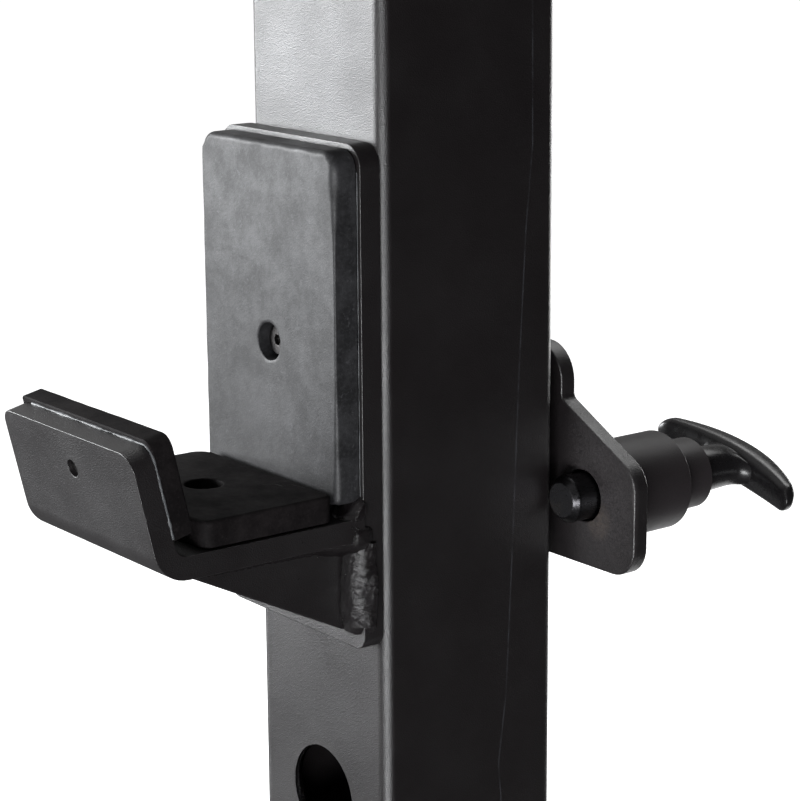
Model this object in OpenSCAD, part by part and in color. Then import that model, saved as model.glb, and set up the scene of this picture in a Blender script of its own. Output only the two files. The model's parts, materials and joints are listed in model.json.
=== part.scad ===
// Wall-mounted folding power rack: two hinged side frames, a pull-up bar that
// links them, and two rubber-faced bar cups locked by spring pins.
// The origin is on the wall plane, midway between the frames, at the height of
// the lower hinges. +X is to the right when facing the wall, -Y points into the
// room and +Z is up.

/* [Rack] */
// Distance between the centres of the two uprights
span = 1168; // [1000:1:1300]
// Distance from a hinge pin to the centre of its upright
reach = 540; // [400:1:750]
// Length of an upright tube
upright_len = 2286; // [2000:1:2500]
// Height of the lower hinges above the foot of the upright tube
lower_hinge_h = 400; // [300:1:700]
// Distance from the top of the upright tube down to the upper hinges
upper_hinge_drop = 136; // [100:1:400]
// Bearing width between the wall and the hinge pins
hinge_stand = 58; // [56:0.5:90]

/* [Upright tube] */
// Outer width of the square upright tube
tube_w = 76.2; // [70:0.1:82]
// Wall of the upright tube
tube_t = 3; // [2:0.1:5]
// Outer corner radius of the tubes
tube_r = 4.5; // [3:0.1:8]
// Diameter of the holes in the front face
hole_d = 35.5; // [28:0.5:38]
// Distance between the holes
hole_pitch = 101.6; // [98:0.1:130]
// Height of the lowest hole above the foot of the tube
first_hole_h = 300; // [200:1:350]
// Least height of plain tube above the top hole
hole_margin = 250; // [150:1:400]
// Which hole carries the bar cup, counted from the lowest
cup_hole = 11; // [3:1:12]

/* [Arms and hinges] */
// Width of an arm tube
arm_w = 50.8; // [44:0.1:60]
// Height of an arm tube
arm_h = 76.2; // [60:0.1:90]
// Wall of an arm tube
arm_t = 3; // [2:0.1:5]
// Diameter of a hinge pin
hinge_pin_d = 20; // [16:0.5:22]
// Outer diameter of a hinge sleeve
sleeve_d = 38; // [35:0.5:42]
// Wall of a hinge bush
bush_t = 3; // [2:0.1:3.5]
// Length of a hinge bush
bush_len = 24; // [15:1:28]
// Thickness of a bush flange
bush_flange_t = 1.3; // [1:0.1:3]
// Gap between a bush flange and the bracket ear
ear_gap = 0.2; // [0.1:0.05:0.5]
// Radial clearance of a pin or bolt in its hole
run_gap = 0.05; // [0.02:0.01:0.1]

/* [Wall stringers] */
// Length of a stringer
stringer_len = 1320; // [1290:1:1500]
// Height of a stringer
stringer_h = 120; // [115:1:160]
// Thickness of a stringer
stringer_t = 10; // [8:0.5:14]
// Distance between wall studs
stud_pitch = 406.4; // [300:0.1:450]
// Vertical distance between the two rows of lag holes
lag_rows = 70; // [40:1:90]
// Diameter of the lag holes and width of the slots
lag_d = 13.5; // [10:0.1:16]
// Length of the slots at the outer studs, end to end
slot_len = 50; // [20:1:70]

/* [Hinge brackets] */
// Width of the bracket's back plate
bracket_w = 112; // [108:1:120]
// Thickness of the bracket's back plate and ears
bracket_t = 8; // [6:0.5:10]
// Width of a bracket ear
ear_w = 56; // [50:1:58]
// Diameter of the bracket bolts
bolt_d = 12; // [8:0.5:12]
// Sideways distance between the bracket bolts
bolt_span_x = 84; // [84:0.5:88]
// Vertical distance between the bracket bolts
bolt_span_z = 66; // [50:1:80]

/* [Fold locks] */
// Distance from the hinge pin to the lock pin
lock_r = 62; // [54:1:90]
// Diameter of the lock pin
lock_pin_d = 16; // [12:0.5:18]
// Outer diameter of the lock pin's guide
lock_guide_d = 30; // [26:0.5:34]
// Height of the lock pin's guide
lock_guide_h = 38; // [25:1:50]
// How far the lock pin drops to lock the frame
lock_travel = 14; // [8:0.5:16]
// Length of the lock pin's bent handle
lock_handle_len = 48; // [30:1:70]

/* [Pull-up bar] */
// Diameter of the bar
bar_d = 32; // [28:0.5:38]
// Wall of the bar
bar_t = 4; // [3:0.5:6]
// Height of the bar's centre above its bracket's foot
bar_rise = 66; // [50:1:90]
// Thickness of the bar brackets
bar_bracket_t = 8; // [6:0.5:10]
// Distance from the pivot to the upright leg of the bar bracket
bar_bracket_reach = 46; // [42:1:70]
// Thickness of the plates on top of the uprights
top_plate_t = 8; // [6:0.5:12]
// Diameter of the pivot bolts
pivot_d = 16; // [12:0.5:18]
// Thickness of the pivot washers
pivot_washer_t = 2.5; // [1.5:0.1:4]
// Clearance round the right pivot bolt, where the link is opened
open_pivot_gap = 0.5; // [0.3:0.1:1]

/* [Feet] */
// Thickness of the rubber foot below the tube
foot_t = 12; // [6:0.5:20]
// How far the foot reaches up inside the tube
foot_plug_h = 20; // [10:1:40]
// How far the foot stands out past the tube on each side
foot_lip = 3; // [0:0.5:6]

/* [Cup plates] */
// Thickness of the cup's front plate, saddle and gusset
cup_t = 8; // [6:0.1:9]
// Thickness of the plate that wraps round the upright
wrap_t = 6.4; // [5:0.1:8]
// Top of the front plate above the cup's level line
plate_top = 99; // [95:0.5:110]
// Bottom of the front plate below the cup's level line
plate_drop = 74.5; // [72:0.5:78]
// Corner radius of the front plate
plate_r = 8; // [3:0.5:12]
// Setback of the front plate's edge from the tube's face on the pin's side
plate_inset = 1; // [0:0.1:2]
// Gap between the wrap plate and the side of the upright
side_gap = 0.6; // [0.3:0.1:1]
// Gap between the wrap plate and the back of the upright
rear_gap = 5.5; // [5.4:0.1:8]
// How far the locating peg reaches into the upright
peg_len = 5; // [3.5:0.1:5]
// Radial clearance of the peg in its hole
peg_gap = 0.5; // [0.3:0.1:1]
// Height of the peg above the cup's level line
peg_rise = 63.2; // [58:0.1:66]
// Top of the wrap plate above the cup's level line
wrap_top = 19.5; // [15:0.5:30]
// Bottom of the wrap plate below the cup's level line
wrap_drop = 58; // [55:0.5:70]

/* [Cup saddle] */
// Top of the saddle's floor below the cup's level line
floor_drop = 26.7; // [24:0.1:32]
// Depth from the front plate to the outside of the bend
saddle_depth = 80.5; // [76:0.5:100]
// Height of the lip's outer top edge above the cup's level line
lip_rise = 9.5; // [4:0.1:30]
// Outward lean of the lip in degrees
lip_lean = 13; // [5:0.5:25]
// Inside radius of the bend
bend_r = 5; // [3:0.5:7]
// Corner radius of the lip on the pin's side
lip_r_pin_side = 7; // [4:0.5:14]
// Corner radius of the lip on the far side
lip_r_far_side = 5; // [3:0.5:14]
// Distance from the upright's centre to the gusset
gusset_x = 19; // [-20:0.5:26]
// Depth of the gusset along the front plate
gusset_h = 34; // [20:0.5:36]
// Reach of the gusset along the saddle's floor
gusset_reach = 66; // [40:0.5:68]

/* [Cup pads] */
// Thickness of the back pad and of the floor pad
pad_t = 9.5; // [7.5:0.1:11]
// Thickness of the lip pad
lip_pad_t = 8; // [7.2:0.1:9]
// How far the lip pad stands up past the lip
lip_pad_over = 1.6; // [0:0.1:3]
// Distance from the plate's edges to the back pad's edges
pad_inset = 1.6; // [0:0.1:5]
// Corner radius of the pads
pad_r = 7; // [2:0.5:12]
// Bottom of the back pad below the cup's level line
back_pad_drop = 22; // [15:0.1:23.5]
// Gap between the front plate and the floor pad
floor_pad_gap = 11.3; // [11.2:0.1:16]
// Depth of the floor pad
floor_pad_len = 52; // [40:0.5:53]
// Diameter of the recesses over the pad screws
recess_d = 13; // [12:0.1:16]
// Depth of the recesses over the pad screws
recess_depth = 6.3; // [4.5:0.1:6.4]
// Diameter of the pad screws
screw_d = 6; // [4:0.1:6]
// Diameter of the pad screws' heads
screw_head_d = 10; // [9:0.1:11.5]

/* [Spring pin] */
// Diameter of the pin
pin_d = 17; // [14:0.1:18]
// Gap between the pin and the side of the upright
pin_gap = 0.4; // [0.2:0.1:1]
// Level of the pin below the cup's level line
pin_drop = 32.6; // [30:0.1:38]
// How far the pin reaches forward past the back of the upright
pin_reach = 4.8; // [3:0.1:8]
// Radial clearance of the pin in the wrap plate
pin_hole_gap = 0.8; // [0.3:0.1:1.2]
// Length of the bevel on the pin's tip
pin_bevel = 2.8; // [1:0.1:4]
// Travel of the pin
pin_travel = 12; // [8:0.5:13]
// Diameter of the barrel
barrel_d = 36; // [33:0.5:40]
// Length of the barrel
barrel_len = 30; // [29:0.5:40]
// Wall of the barrel
barrel_t = 5; // [3.5:0.1:5]
// Diameter of the barrel's cap
cap_d = 26; // [24:0.5:30]
// Length of the barrel's cap outside the barrel
cap_len = 15; // [8:0.5:25]
// Thickness of the flange on the pin
flange_t = 4; // [2:0.1:5]
// Length of the handle's stem
stem_len = 15.5; // [13:0.5:30]
// Length of the handle's crescent grip
grip_len = 70; // [50:0.5:90]
// Height of the grip
grip_h = 14; // [10:0.5:18]
// Thickness of the grip at its ends
grip_end_t = 6; // [4:0.5:8]
// Bulge of the grip's back
grip_bulge = 10.5; // [6:0.5:14]
// Hollow of the grip's inner face
grip_hollow = 4.6; // [0:0.1:5]
// Turn of the grip about the pin in degrees
grip_turn = 12.5; // [0:0.5:90]

/* [Hidden] */
$fn = 48;
// Overlap that lets one solid cut clean through another
cut = 1;
// Overlap that joins two shapes into one solid
join = 1;
// Ratio of corner radii that are kept smaller than their neighbours
small = 0.6;
// Side signs used with span
LEFT = -1;
RIGHT = 1;

// Levels of the rack, with the lower hinges at z = 0
tube_foot_z = -lower_hinge_h;
tube_top_z = tube_foot_z + upright_len;
upper_z = tube_top_z - upper_hinge_drop;
hinge_y = -hinge_stand;
upright_y = hinge_y - reach;
half = tube_w / 2;
hole_count = floor((upright_len - first_hole_h - hole_margin) / hole_pitch) + 1;
cup_z = tube_foot_z + first_hole_h + hole_pitch * (cup_hole - 1) - peg_rise;

// Brackets and hinges
stringer_r = 6;
bracket_r = 8;
bracket_edge = 3;
bolt_end_gap = 1;
thread_show = 3;
bracket_front_y = -stringer_t - bracket_t;
ear_z = arm_h / 2 + bush_flange_t + ear_gap;
ear_nose = ear_w / 2;
bolt_head_h = bolt_d * 0.62;
bolt_head_d = bolt_d * 1.8;
hinge_head_h = 8;
hinge_nut_h = 12;
hinge_head_d = hinge_pin_d * 1.6;
lock_y = hinge_y - lock_r;
lock_park_z = arm_h / 2 + bush_flange_t;
lock_top_z = ear_z + bracket_t + lock_guide_h;
lock_nose = lock_guide_d / 2 + 5;
lock_hole_gap = 0.5;
lock_handle_gap = 2;
inner_r = 0.5;
plug_gap = 0.2;
plug_r = max(tube_r - tube_t, inner_r);

// Cup, measured from the centre of its upright
front_y = -half - cup_t;
wrap_x = -half - side_gap - wrap_t;
wrap_back_y = half + rear_gap + wrap_t;
cup_mid_x = (wrap_x + half) / 2;
bend_y = front_y - saddle_depth;
pin_x = half + pin_gap + pin_d / 2;
pin_tip_y = half - pin_reach;
barrel_end_y = wrap_back_y + barrel_len;
cap_end_y = barrel_end_y + cap_len;
flange_gap = 0.3;
flange_y = wrap_back_y + flange_gap;
flange_run_gap = 0.5;
flange_d = barrel_d - 2 * (barrel_t + flange_run_gap);
cap_spigot = 5;
handle_gap = 0.5;
stem_y = cap_end_y + handle_gap;
grip_y = stem_y + stem_len;
boss_w = 36;
boss_x = half + boss_w;
boss_z = 12.8 - pin_drop;
boss_slope_h = 20.5;
wrap_inset = 3;
wrap_r = 11;
wrap_notch_r = 3;
wrap_top_r = 13;
wrap_bend_r = 2;
screw_z = 28.5;
lip_screw_up = 34;
cup_screw_y = front_y - floor_pad_gap - floor_pad_len / 2;
screw_head_t = 2.8;
screw_bite = 6.5;
socket_depth = 1.6;
socket_w = screw_d * 0.65;
lip_pad_gap = 1;
lip_base_z = -floor_drop - cup_t;
lip_len = (lip_rise + cup_t * sin(lip_lean) - lip_base_z) / cos(lip_lean);

// Points of one rounded corner p1 between its neighbours p0 and p2
function unit(v) = v / norm(v);
function wrapped(a) = a > 180 ? a - 360 : a < -180 ? a + 360 : a;
function corner(p0, p1, p2, r, n) =
    r <= 0 ? [p1] :
    let(
        u = unit(p0 - p1),
        v = unit(p2 - p1),
        half_angle = acos(u * v) / 2,
        c = p1 + unit(u + v) * r / sin(half_angle),
        a = p1 + u * r / tan(half_angle) - c,
        b = p1 + v * r / tan(half_angle) - c,
        a0 = atan2(a[1], a[0]),
        sweep = wrapped(atan2(b[1], b[0]) - a0)
    )
    [for (i = [0:n]) c + r * [cos(a0 + sweep * i / n), sin(a0 + sweep * i / n)]];
// Outline through corners given as [x, y, radius]
function rounded(c, n = 9) =
    let(last = len(c) - 1)
    [for (i = [0:last])
        let(p = c[i == 0 ? last : i - 1], q = c[i == last ? 0 : i + 1])
        each corner([p[0], p[1]], [c[i][0], c[i][1]], [q[0], q[1]], c[i][2], n)];
function box_outline(w, h, r) =
    rounded([[-w / 2, -h / 2, r], [w / 2, -h / 2, r], [w / 2, h / 2, r], [-w / 2, h / 2, r]]);

// Flat shape drawn in X and Z, thickened from y0 to y1
module xz_plate(y0, y1) {
    translate([0, y1, 0]) rotate([90, 0, 0]) linear_extrude(y1 - y0) children();
}
// Flat shape drawn in Y and Z, thickened from x0 to x1
module yz_plate(x0, x1) {
    translate([x0, 0, 0]) rotate([90, 0, 90]) linear_extrude(x1 - x0) children();
}
module y_rod(x, z, d, y0, y1) {
    translate([x, y1, z]) rotate([90, 0, 0]) cylinder(d = d, h = y1 - y0);
}
module z_rod(x, y, d, z0, z1) {
    translate([x, y, z0]) cylinder(d = d, h = z1 - z0);
}
module hex_head(d, h) {
    cylinder(d = d, h = h, $fn = 6);
}

// Wall side

module stringer(z) {
    color("#202123") translate([0, 0, z]) difference() {
        xz_plate(-stringer_t, 0) polygon(box_outline(stringer_len, stringer_h, stringer_r));
        for (row = [-1, 1]) {
            translate([0, 0, row * lag_rows / 2]) {
                y_rod(0, 0, lag_d, -stringer_t - cut, cut);
                for (stud = [-1, 1]) translate([stud * stud_pitch, 0, 0]) {
                    for (end = [-1, 1])
                        y_rod(end * (slot_len - lag_d) / 2, 0, lag_d, -stringer_t - cut, cut);
                    translate([0, -stringer_t / 2, 0])
                        cube([slot_len - lag_d, stringer_t + 2 * cut, lag_d], center = true);
                }
            }
        }
        bracket_bolt_places(-stringer_t) y_rod(0, 0, bolt_d + 2 * run_gap, -cut, stringer_t + cut);
    }
}
module bracket_bolt_places(y) {
    for (side = [LEFT, RIGHT], sx = [-1, 1], sz = [-1, 1])
        translate([side * span / 2 + sx * bolt_span_x / 2, y, sz * bolt_span_z / 2]) children();
}
module upper_stringer() stringer(upper_z);
module lower_stringer() stringer(0);

// Ear of a bracket, drawn in X and Y with its hinge hole at hinge_y
module ear(nose_y) {
    linear_extrude(bracket_t) difference() {
        polygon(rounded([
            [-ear_w / 2, bracket_front_y, 0],
            [-ear_w / 2, nose_y, ear_w * 0.35],
            [ear_w / 2, nose_y, ear_w * 0.35],
            [ear_w / 2, bracket_front_y, 0]
        ]));
        translate([0, hinge_y]) circle(d = hinge_pin_d + 2 * run_gap);
    }
}
module bracket(side, z, locking) {
    color("#1b1c1e") translate([side * span / 2, 0, z]) {
        difference() {
            xz_plate(bracket_front_y, -stringer_t)
                polygon(box_outline(bracket_w, stringer_h - 2 * bracket_edge, bracket_r));
            for (sx = [-1, 1], sz = [-1, 1])
                y_rod(sx * bolt_span_x / 2, sz * bolt_span_z / 2, bolt_d + 2 * run_gap,
                    bracket_front_y - cut, cut);
        }
        difference() {
            translate([0, 0, ear_z]) ear(locking ? lock_y - lock_nose : hinge_y - ear_nose);
            if (locking)
                z_rod(0, lock_y, lock_pin_d + 2 * run_gap, ear_z - cut, ear_z + bracket_t + cut);
        }
        translate([0, 0, -ear_z - bracket_t]) ear(hinge_y - ear_nose);
    }
}
module left_upper_bracket() bracket(LEFT, upper_z, false);
module left_lower_bracket() bracket(LEFT, 0, true);
module right_upper_bracket() bracket(RIGHT, upper_z, false);
module right_lower_bracket() bracket(RIGHT, 0, true);

module bracket_bolts() {
    color("#3c3d40") for (z = [0, upper_z]) translate([0, 0, z]) bracket_bolt_places(bracket_front_y) {
        y_rod(0, 0, bolt_d, 0, stringer_t + bracket_t - bolt_end_gap);
        rotate([90, 0, 0]) hex_head(bolt_head_d, bolt_head_h);
    }
}
module hinge_bolts() {
    low = -ear_z - bracket_t;
    high = ear_z + bracket_t;
    color("#3c3d40") for (x = [-span / 2, span / 2], z = [0, upper_z]) translate([x, hinge_y, z]) {
        z_rod(0, 0, hinge_pin_d, low - hinge_nut_h - thread_show, high + join);
        z_rod(0, 0, hinge_head_d, high, high + hinge_head_h);
        translate([0, 0, low - hinge_nut_h]) difference() {
            hex_head(hinge_head_d, hinge_nut_h);
            z_rod(0, 0, hinge_pin_d + 2 * run_gap, -cut, hinge_nut_h + cut);
        }
    }
}
module lock_guide(side) {
    color("#1b1c1e") translate([side * span / 2, 0, 0]) difference() {
        z_rod(0, lock_y, lock_guide_d, ear_z + bracket_t, lock_top_z);
        z_rod(0, lock_y, lock_pin_d + 2 * run_gap, ear_z, lock_top_z + cut);
    }
}
module left_lock_guide() lock_guide(LEFT);
module right_lock_guide() lock_guide(RIGHT);

// Lock pin, held up clear of the arm
module lock_pin(side) {
    handle_d = lock_pin_d * 0.75;
    handle_z = lock_top_z + lock_travel + handle_d / 2 + lock_handle_gap;
    color("#8b8d90") translate([side * span / 2, lock_y, 0]) {
        z_rod(0, 0, lock_pin_d, lock_park_z, handle_z + handle_d / 2);
        translate([0, 0, handle_z]) rotate([90, 0, 0]) cylinder(d = handle_d, h = lock_handle_len);
    }
}
module left_lock_pin() lock_pin(LEFT);
module right_lock_pin() lock_pin(RIGHT);

// Side frames

module upright(side) {
    color("#26272a") translate([side * span / 2, upright_y, tube_foot_z]) difference() {
        linear_extrude(upright_len) difference() {
            polygon(box_outline(tube_w, tube_w, tube_r));
            polygon(box_outline(tube_w - 2 * tube_t, tube_w - 2 * tube_t, max(tube_r - tube_t, inner_r)));
        }
        for (i = [0:hole_count - 1])
            y_rod(0, first_hole_h + i * hole_pitch, hole_d, -half - cut, -half + tube_t + cut);
    }
}
module left_upright() upright(LEFT);
module right_upright() upright(RIGHT);

// Arm from the hinge sleeve to the back of the upright
module arm(side, z, lock_hole) {
    arm_len = reach - half;
    color("#26272a") translate([side * span / 2, hinge_y, z]) difference() {
        xz_plate(-arm_len, 0) difference() {
            polygon(box_outline(arm_w, arm_h, tube_r));
            polygon(box_outline(arm_w - 2 * arm_t, arm_h - 2 * arm_t, max(tube_r - arm_t, inner_r)));
        }
        cylinder(d = sleeve_d, h = arm_h + 2 * cut, center = true);
        if (lock_hole)
            z_rod(0, -lock_r, lock_pin_d + 2 * lock_hole_gap, 0, arm_h / 2 + cut);
    }
}
module left_upper_arm() arm(LEFT, upper_z, false);
module left_lower_arm() arm(LEFT, 0, true);
module right_upper_arm() arm(RIGHT, upper_z, false);
module right_lower_arm() arm(RIGHT, 0, true);

bush_d = hinge_pin_d + 2 * run_gap + 2 * bush_t;
module hinge_sleeves(side) {
    color("#26272a") for (z = [0, upper_z]) translate([side * span / 2, hinge_y, z]) difference() {
        cylinder(d = sleeve_d, h = arm_h, center = true);
        cylinder(d = bush_d + 2 * run_gap, h = arm_h + 2 * cut, center = true);
    }
}
module left_hinge_sleeves() hinge_sleeves(LEFT);
module right_hinge_sleeves() hinge_sleeves(RIGHT);

module hinge_bushes(side) {
    color("#b08a4a") for (z = [0, upper_z], end = [0, 1])
        translate([side * span / 2, hinge_y, z]) mirror([0, 0, end]) difference() {
            union() {
                z_rod(0, 0, bush_d, arm_h / 2 - bush_len, arm_h / 2 + bush_flange_t);
                z_rod(0, 0, sleeve_d - 2, arm_h / 2, arm_h / 2 + bush_flange_t);
            }
            cylinder(d = hinge_pin_d + 2 * run_gap, h = arm_h);
        }
}
module left_hinge_bushes() hinge_bushes(LEFT);
module right_hinge_bushes() hinge_bushes(RIGHT);

module top_plate(side) {
    color("#26272a") translate([side * span / 2, upright_y, tube_top_z]) difference() {
        linear_extrude(top_plate_t) polygon(box_outline(tube_w, tube_w, tube_r));
        z_rod(0, 0, pivot_d + 2 * run_gap, -cut, top_plate_t + cut);
    }
}
module left_top_plate() top_plate(LEFT);
module right_top_plate() top_plate(RIGHT);

module foot(side) {
    foot_w = tube_w + 2 * foot_lip;
    plug_w = tube_w - 2 * (tube_t + plug_gap);
    color("#151515") translate([side * span / 2, upright_y, tube_foot_z - foot_t]) {
        linear_extrude(foot_t) polygon(box_outline(foot_w, foot_w, tube_r + foot_lip));
        linear_extrude(foot_t + foot_plug_h) polygon(box_outline(plug_w, plug_w, plug_r));
    }
}
module left_foot() foot(LEFT);
module right_foot() foot(RIGHT);

// Pull-up bar

bracket_foot_z = tube_top_z + top_plate_t + pivot_washer_t;
bar_z = bracket_foot_z + bar_rise;
bar_bracket_w = tube_w * 0.9;
bar_bracket_edge = 9;
bar_bracket_r = 14;
bar_bracket_h = bar_rise + bar_d / 2 + bar_bracket_edge;
module pullup_bar() {
    bar_len = span - 2 * bar_bracket_reach;
    color("#26272a") translate([-bar_len / 2, upright_y, bar_z]) rotate([0, 90, 0]) difference() {
        cylinder(d = bar_d, h = bar_len);
        translate([0, 0, -cut]) cylinder(d = bar_d - 2 * bar_t, h = bar_len + 2 * cut);
    }
}
// One bent bracket at each end; the right one has the wider, opened pivot hole
module bar_brackets() {
    color("#1b1c1e") for (side = [LEFT, RIGHT]) {
        pivot_gap = side == LEFT ? run_gap : open_pivot_gap;
        translate([side * span / 2, upright_y, bracket_foot_z]) mirror([side == RIGHT ? 1 : 0, 0, 0]) {
            difference() {
                translate([-half, -bar_bracket_w / 2, 0])
                    cube([half + bar_bracket_reach, bar_bracket_w, bar_bracket_t]);
                z_rod(0, 0, pivot_d + 2 * pivot_gap, -cut, bar_bracket_t + cut);
            }
            yz_plate(bar_bracket_reach - bar_bracket_t, bar_bracket_reach) polygon(rounded([
                [-bar_bracket_w / 2, 0, 0],
                [bar_bracket_w / 2, 0, 0],
                [bar_d / 2 + bar_bracket_edge, bar_bracket_h, bar_bracket_r],
                [-bar_d / 2 - bar_bracket_edge, bar_bracket_h, bar_bracket_r]
            ]));
        }
    }
}
module pivot_washers() {
    washer_z = tube_top_z + top_plate_t;
    color("#d8d4c8") for (side = [LEFT, RIGHT]) translate([side * span / 2, upright_y, washer_z])
        difference() {
            cylinder(d = tube_w * 0.6, h = pivot_washer_t - ear_gap);
            z_rod(0, 0, pivot_d + 2 * open_pivot_gap, -cut, pivot_washer_t + cut);
        }
}
module pivot_bolt(side) {
    shank = bar_bracket_t + pivot_washer_t + ear_gap;
    color("#3c3d40") translate([side * span / 2, upright_y, tube_top_z]) {
        z_rod(0, 0, pivot_d, -pivot_d / 2, top_plate_t + shank);
        translate([0, 0, top_plate_t + shank]) hex_head(pivot_d * 1.7, pivot_d * 0.6);
    }
}
module left_pivot_bolt() pivot_bolt(LEFT);
module right_pivot_bolt() pivot_bolt(RIGHT);

// Bar cups: every part below is drawn about the centre of its upright

module at_cup(side) {
    translate([side * span / 2, upright_y, cup_z]) children();
}
module cup_front_plate(side) {
    color("#1d1e20") at_cup(side) difference() {
        xz_plate(front_y, -half) polygon(rounded([
            [wrap_x, -plate_drop, plate_r * small],
            [half - plate_inset, -plate_drop, plate_r * small],
            [half - plate_inset, plate_top, plate_r],
            [wrap_x, plate_top, plate_r]
        ]));
        y_rod(cup_mid_x, screw_z, screw_d + 2 * run_gap, front_y - cut, -half + cut);
    }
}
module left_cup_front_plate() cup_front_plate(LEFT);
module right_cup_front_plate() cup_front_plate(RIGHT);

// Bent plate round the far side and the back, with a boss plate for the pin
module cup_wrap_plate(side) {
    tall = wrap_drop + wrap_top + 2 * cut;
    color("#1d1e20") at_cup(side) difference() {
        intersection() {
            translate([0, 0, -wrap_drop - cut]) linear_extrude(tall) polygon(rounded([
                [wrap_x, -half, 0],
                [wrap_x + wrap_t, -half, 0],
                [wrap_x + wrap_t, wrap_back_y - wrap_t, wrap_bend_r],
                [boss_x + cut, wrap_back_y - wrap_t, 0],
                [boss_x + cut, wrap_back_y, 0],
                [wrap_x, wrap_back_y, wrap_bend_r + wrap_t]
            ]));
            xz_plate(-half - cut, wrap_back_y + cut) polygon(rounded([
                [wrap_x - cut, -wrap_drop, 0],
                [boss_x, -wrap_drop, wrap_r],
                [boss_x, boss_z, wrap_r],
                [half - wrap_inset, boss_z + boss_slope_h, wrap_notch_r],
                [half - wrap_inset, wrap_top, wrap_top_r],
                [wrap_x - cut, wrap_top, 0]
            ]));
        }
        y_rod(pin_x, -pin_drop, pin_d + 2 * pin_hole_gap, half, wrap_back_y + cut);
    }
}
module left_cup_wrap_plate() cup_wrap_plate(LEFT);
module right_cup_wrap_plate() cup_wrap_plate(RIGHT);

// Places its children on the lip's inner face: x across, y outward, z up the lip
module on_lip() {
    translate([0, bend_y + cup_t / cos(lip_lean), lip_base_z]) rotate([lip_lean, 0, 0]) children();
}
// Outline of the bent saddle in Y and Z, with its lip's edge cut square
module saddle_profile() {
    lean = tan(lip_lean);
    foot_z = lip_base_z;
    lip_y = bend_y - (lip_rise - foot_z) * lean;
    polygon(rounded([
        [front_y, foot_z, 0],
        [bend_y, foot_z, bend_r + cup_t],
        [lip_y, lip_rise, 0],
        [lip_y + cup_t * cos(lip_lean), lip_rise + cup_t * sin(lip_lean), 0],
        [bend_y - cup_t * lean + cup_t / cos(lip_lean), foot_z + cup_t, bend_r],
        [front_y, foot_z + cup_t, 0]
    ]));
}
// Front view of the lip or its pad, with round top corners
module lip_front(x0, low_z, high_z, r) {
    polygon(rounded([[x0, low_z, 0], [half, low_z, 0], [half, high_z, r], [x0, high_z, lip_r_far_side]]));
}
module lip_screw_axis(d, y0, y1) {
    on_lip() y_rod(cup_mid_x, lip_screw_up, d, y0, y1);
}
module cup_saddle(side) {
    color("#1d1e20") at_cup(side) difference() {
        intersection() {
            yz_plate(wrap_x, half) saddle_profile();
            on_lip() xz_plate(-2 * cup_t, 2 * saddle_depth)
                lip_front(wrap_x, -saddle_depth, lip_len, lip_r_pin_side);
        }
        lip_screw_axis(screw_d + 2 * run_gap, -2 * cup_t, cut);
        z_rod(cup_mid_x, cup_screw_y, screw_d + 2 * run_gap, lip_base_z - cut, -floor_drop + cut);
    }
}
module left_cup_saddle() cup_saddle(LEFT);
module right_cup_saddle() cup_saddle(RIGHT);

// Width of the gusset's two blunt ends
gusset_end = 2;
module cup_gusset(side) {
    color("#1d1e20") at_cup(side) yz_plate(gusset_x, gusset_x + cup_t) polygon([
        [front_y, lip_base_z],
        [front_y - gusset_reach, lip_base_z],
        [front_y - gusset_reach, lip_base_z - gusset_end],
        [front_y - gusset_end, lip_base_z - gusset_h],
        [front_y, lip_base_z - gusset_h]
    ]);
}
module left_cup_gusset() cup_gusset(LEFT);
module right_cup_gusset() cup_gusset(RIGHT);

module cup_peg(side) {
    color("#5d5f62") at_cup(side) y_rod(0, peg_rise, hole_d - 2 * peg_gap, -half, -half + peg_len);
}
module left_cup_peg() cup_peg(LEFT);
module right_cup_peg() cup_peg(RIGHT);

// Pads

module cup_back_pad(side) {
    pad_y = front_y - pad_t;
    high = plate_top - pad_inset;
    right = half - plate_inset - pad_inset;
    color("#3a3b3e") at_cup(side) difference() {
        xz_plate(pad_y, front_y) polygon(rounded([
            [wrap_x + pad_inset, -back_pad_drop, pad_r * small * small],
            [right, -back_pad_drop, pad_r * small * small],
            [right, high, pad_r],
            [wrap_x + pad_inset, high, pad_r]
        ]));
        y_rod(cup_mid_x, screw_z, screw_d + 2 * run_gap, pad_y - cut, front_y + cut);
        y_rod(cup_mid_x, screw_z, recess_d, pad_y - cut, pad_y + recess_depth);
    }
}
module left_cup_back_pad() cup_back_pad(LEFT);
module right_cup_back_pad() cup_back_pad(RIGHT);

module cup_floor_pad(side) {
    back_y = front_y - floor_pad_gap;
    color("#1f2021") at_cup(side) translate([0, 0, -floor_drop]) difference() {
        linear_extrude(pad_t) polygon(rounded([
            [wrap_x + pad_inset, back_y - floor_pad_len, pad_r * small],
            [half - pad_inset, back_y - floor_pad_len, pad_r * small],
            [half - pad_inset, back_y, pad_r * small],
            [wrap_x + pad_inset, back_y, pad_r]
        ]));
        z_rod(cup_mid_x, cup_screw_y, screw_d + 2 * run_gap, -cut, pad_t + cut);
        z_rod(cup_mid_x, cup_screw_y, recess_d, pad_t - recess_depth, pad_t + cut);
    }
}
module left_cup_floor_pad() cup_floor_pad(LEFT);
module right_cup_floor_pad() cup_floor_pad(RIGHT);

module cup_lip_pad(side) {
    low = cup_t + bend_r + lip_pad_gap;
    color("#232425") at_cup(side) difference() {
        on_lip() xz_plate(0, lip_pad_t)
            lip_front(wrap_x + pad_inset, low, lip_len + lip_pad_over, lip_r_far_side);
        lip_screw_axis(screw_d + 2 * run_gap, -cut, lip_pad_t + cut);
        lip_screw_axis(recess_d, lip_pad_t - recess_depth, lip_pad_t + cut);
    }
}
module left_cup_lip_pad() cup_lip_pad(LEFT);
module right_cup_lip_pad() cup_lip_pad(RIGHT);

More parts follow.
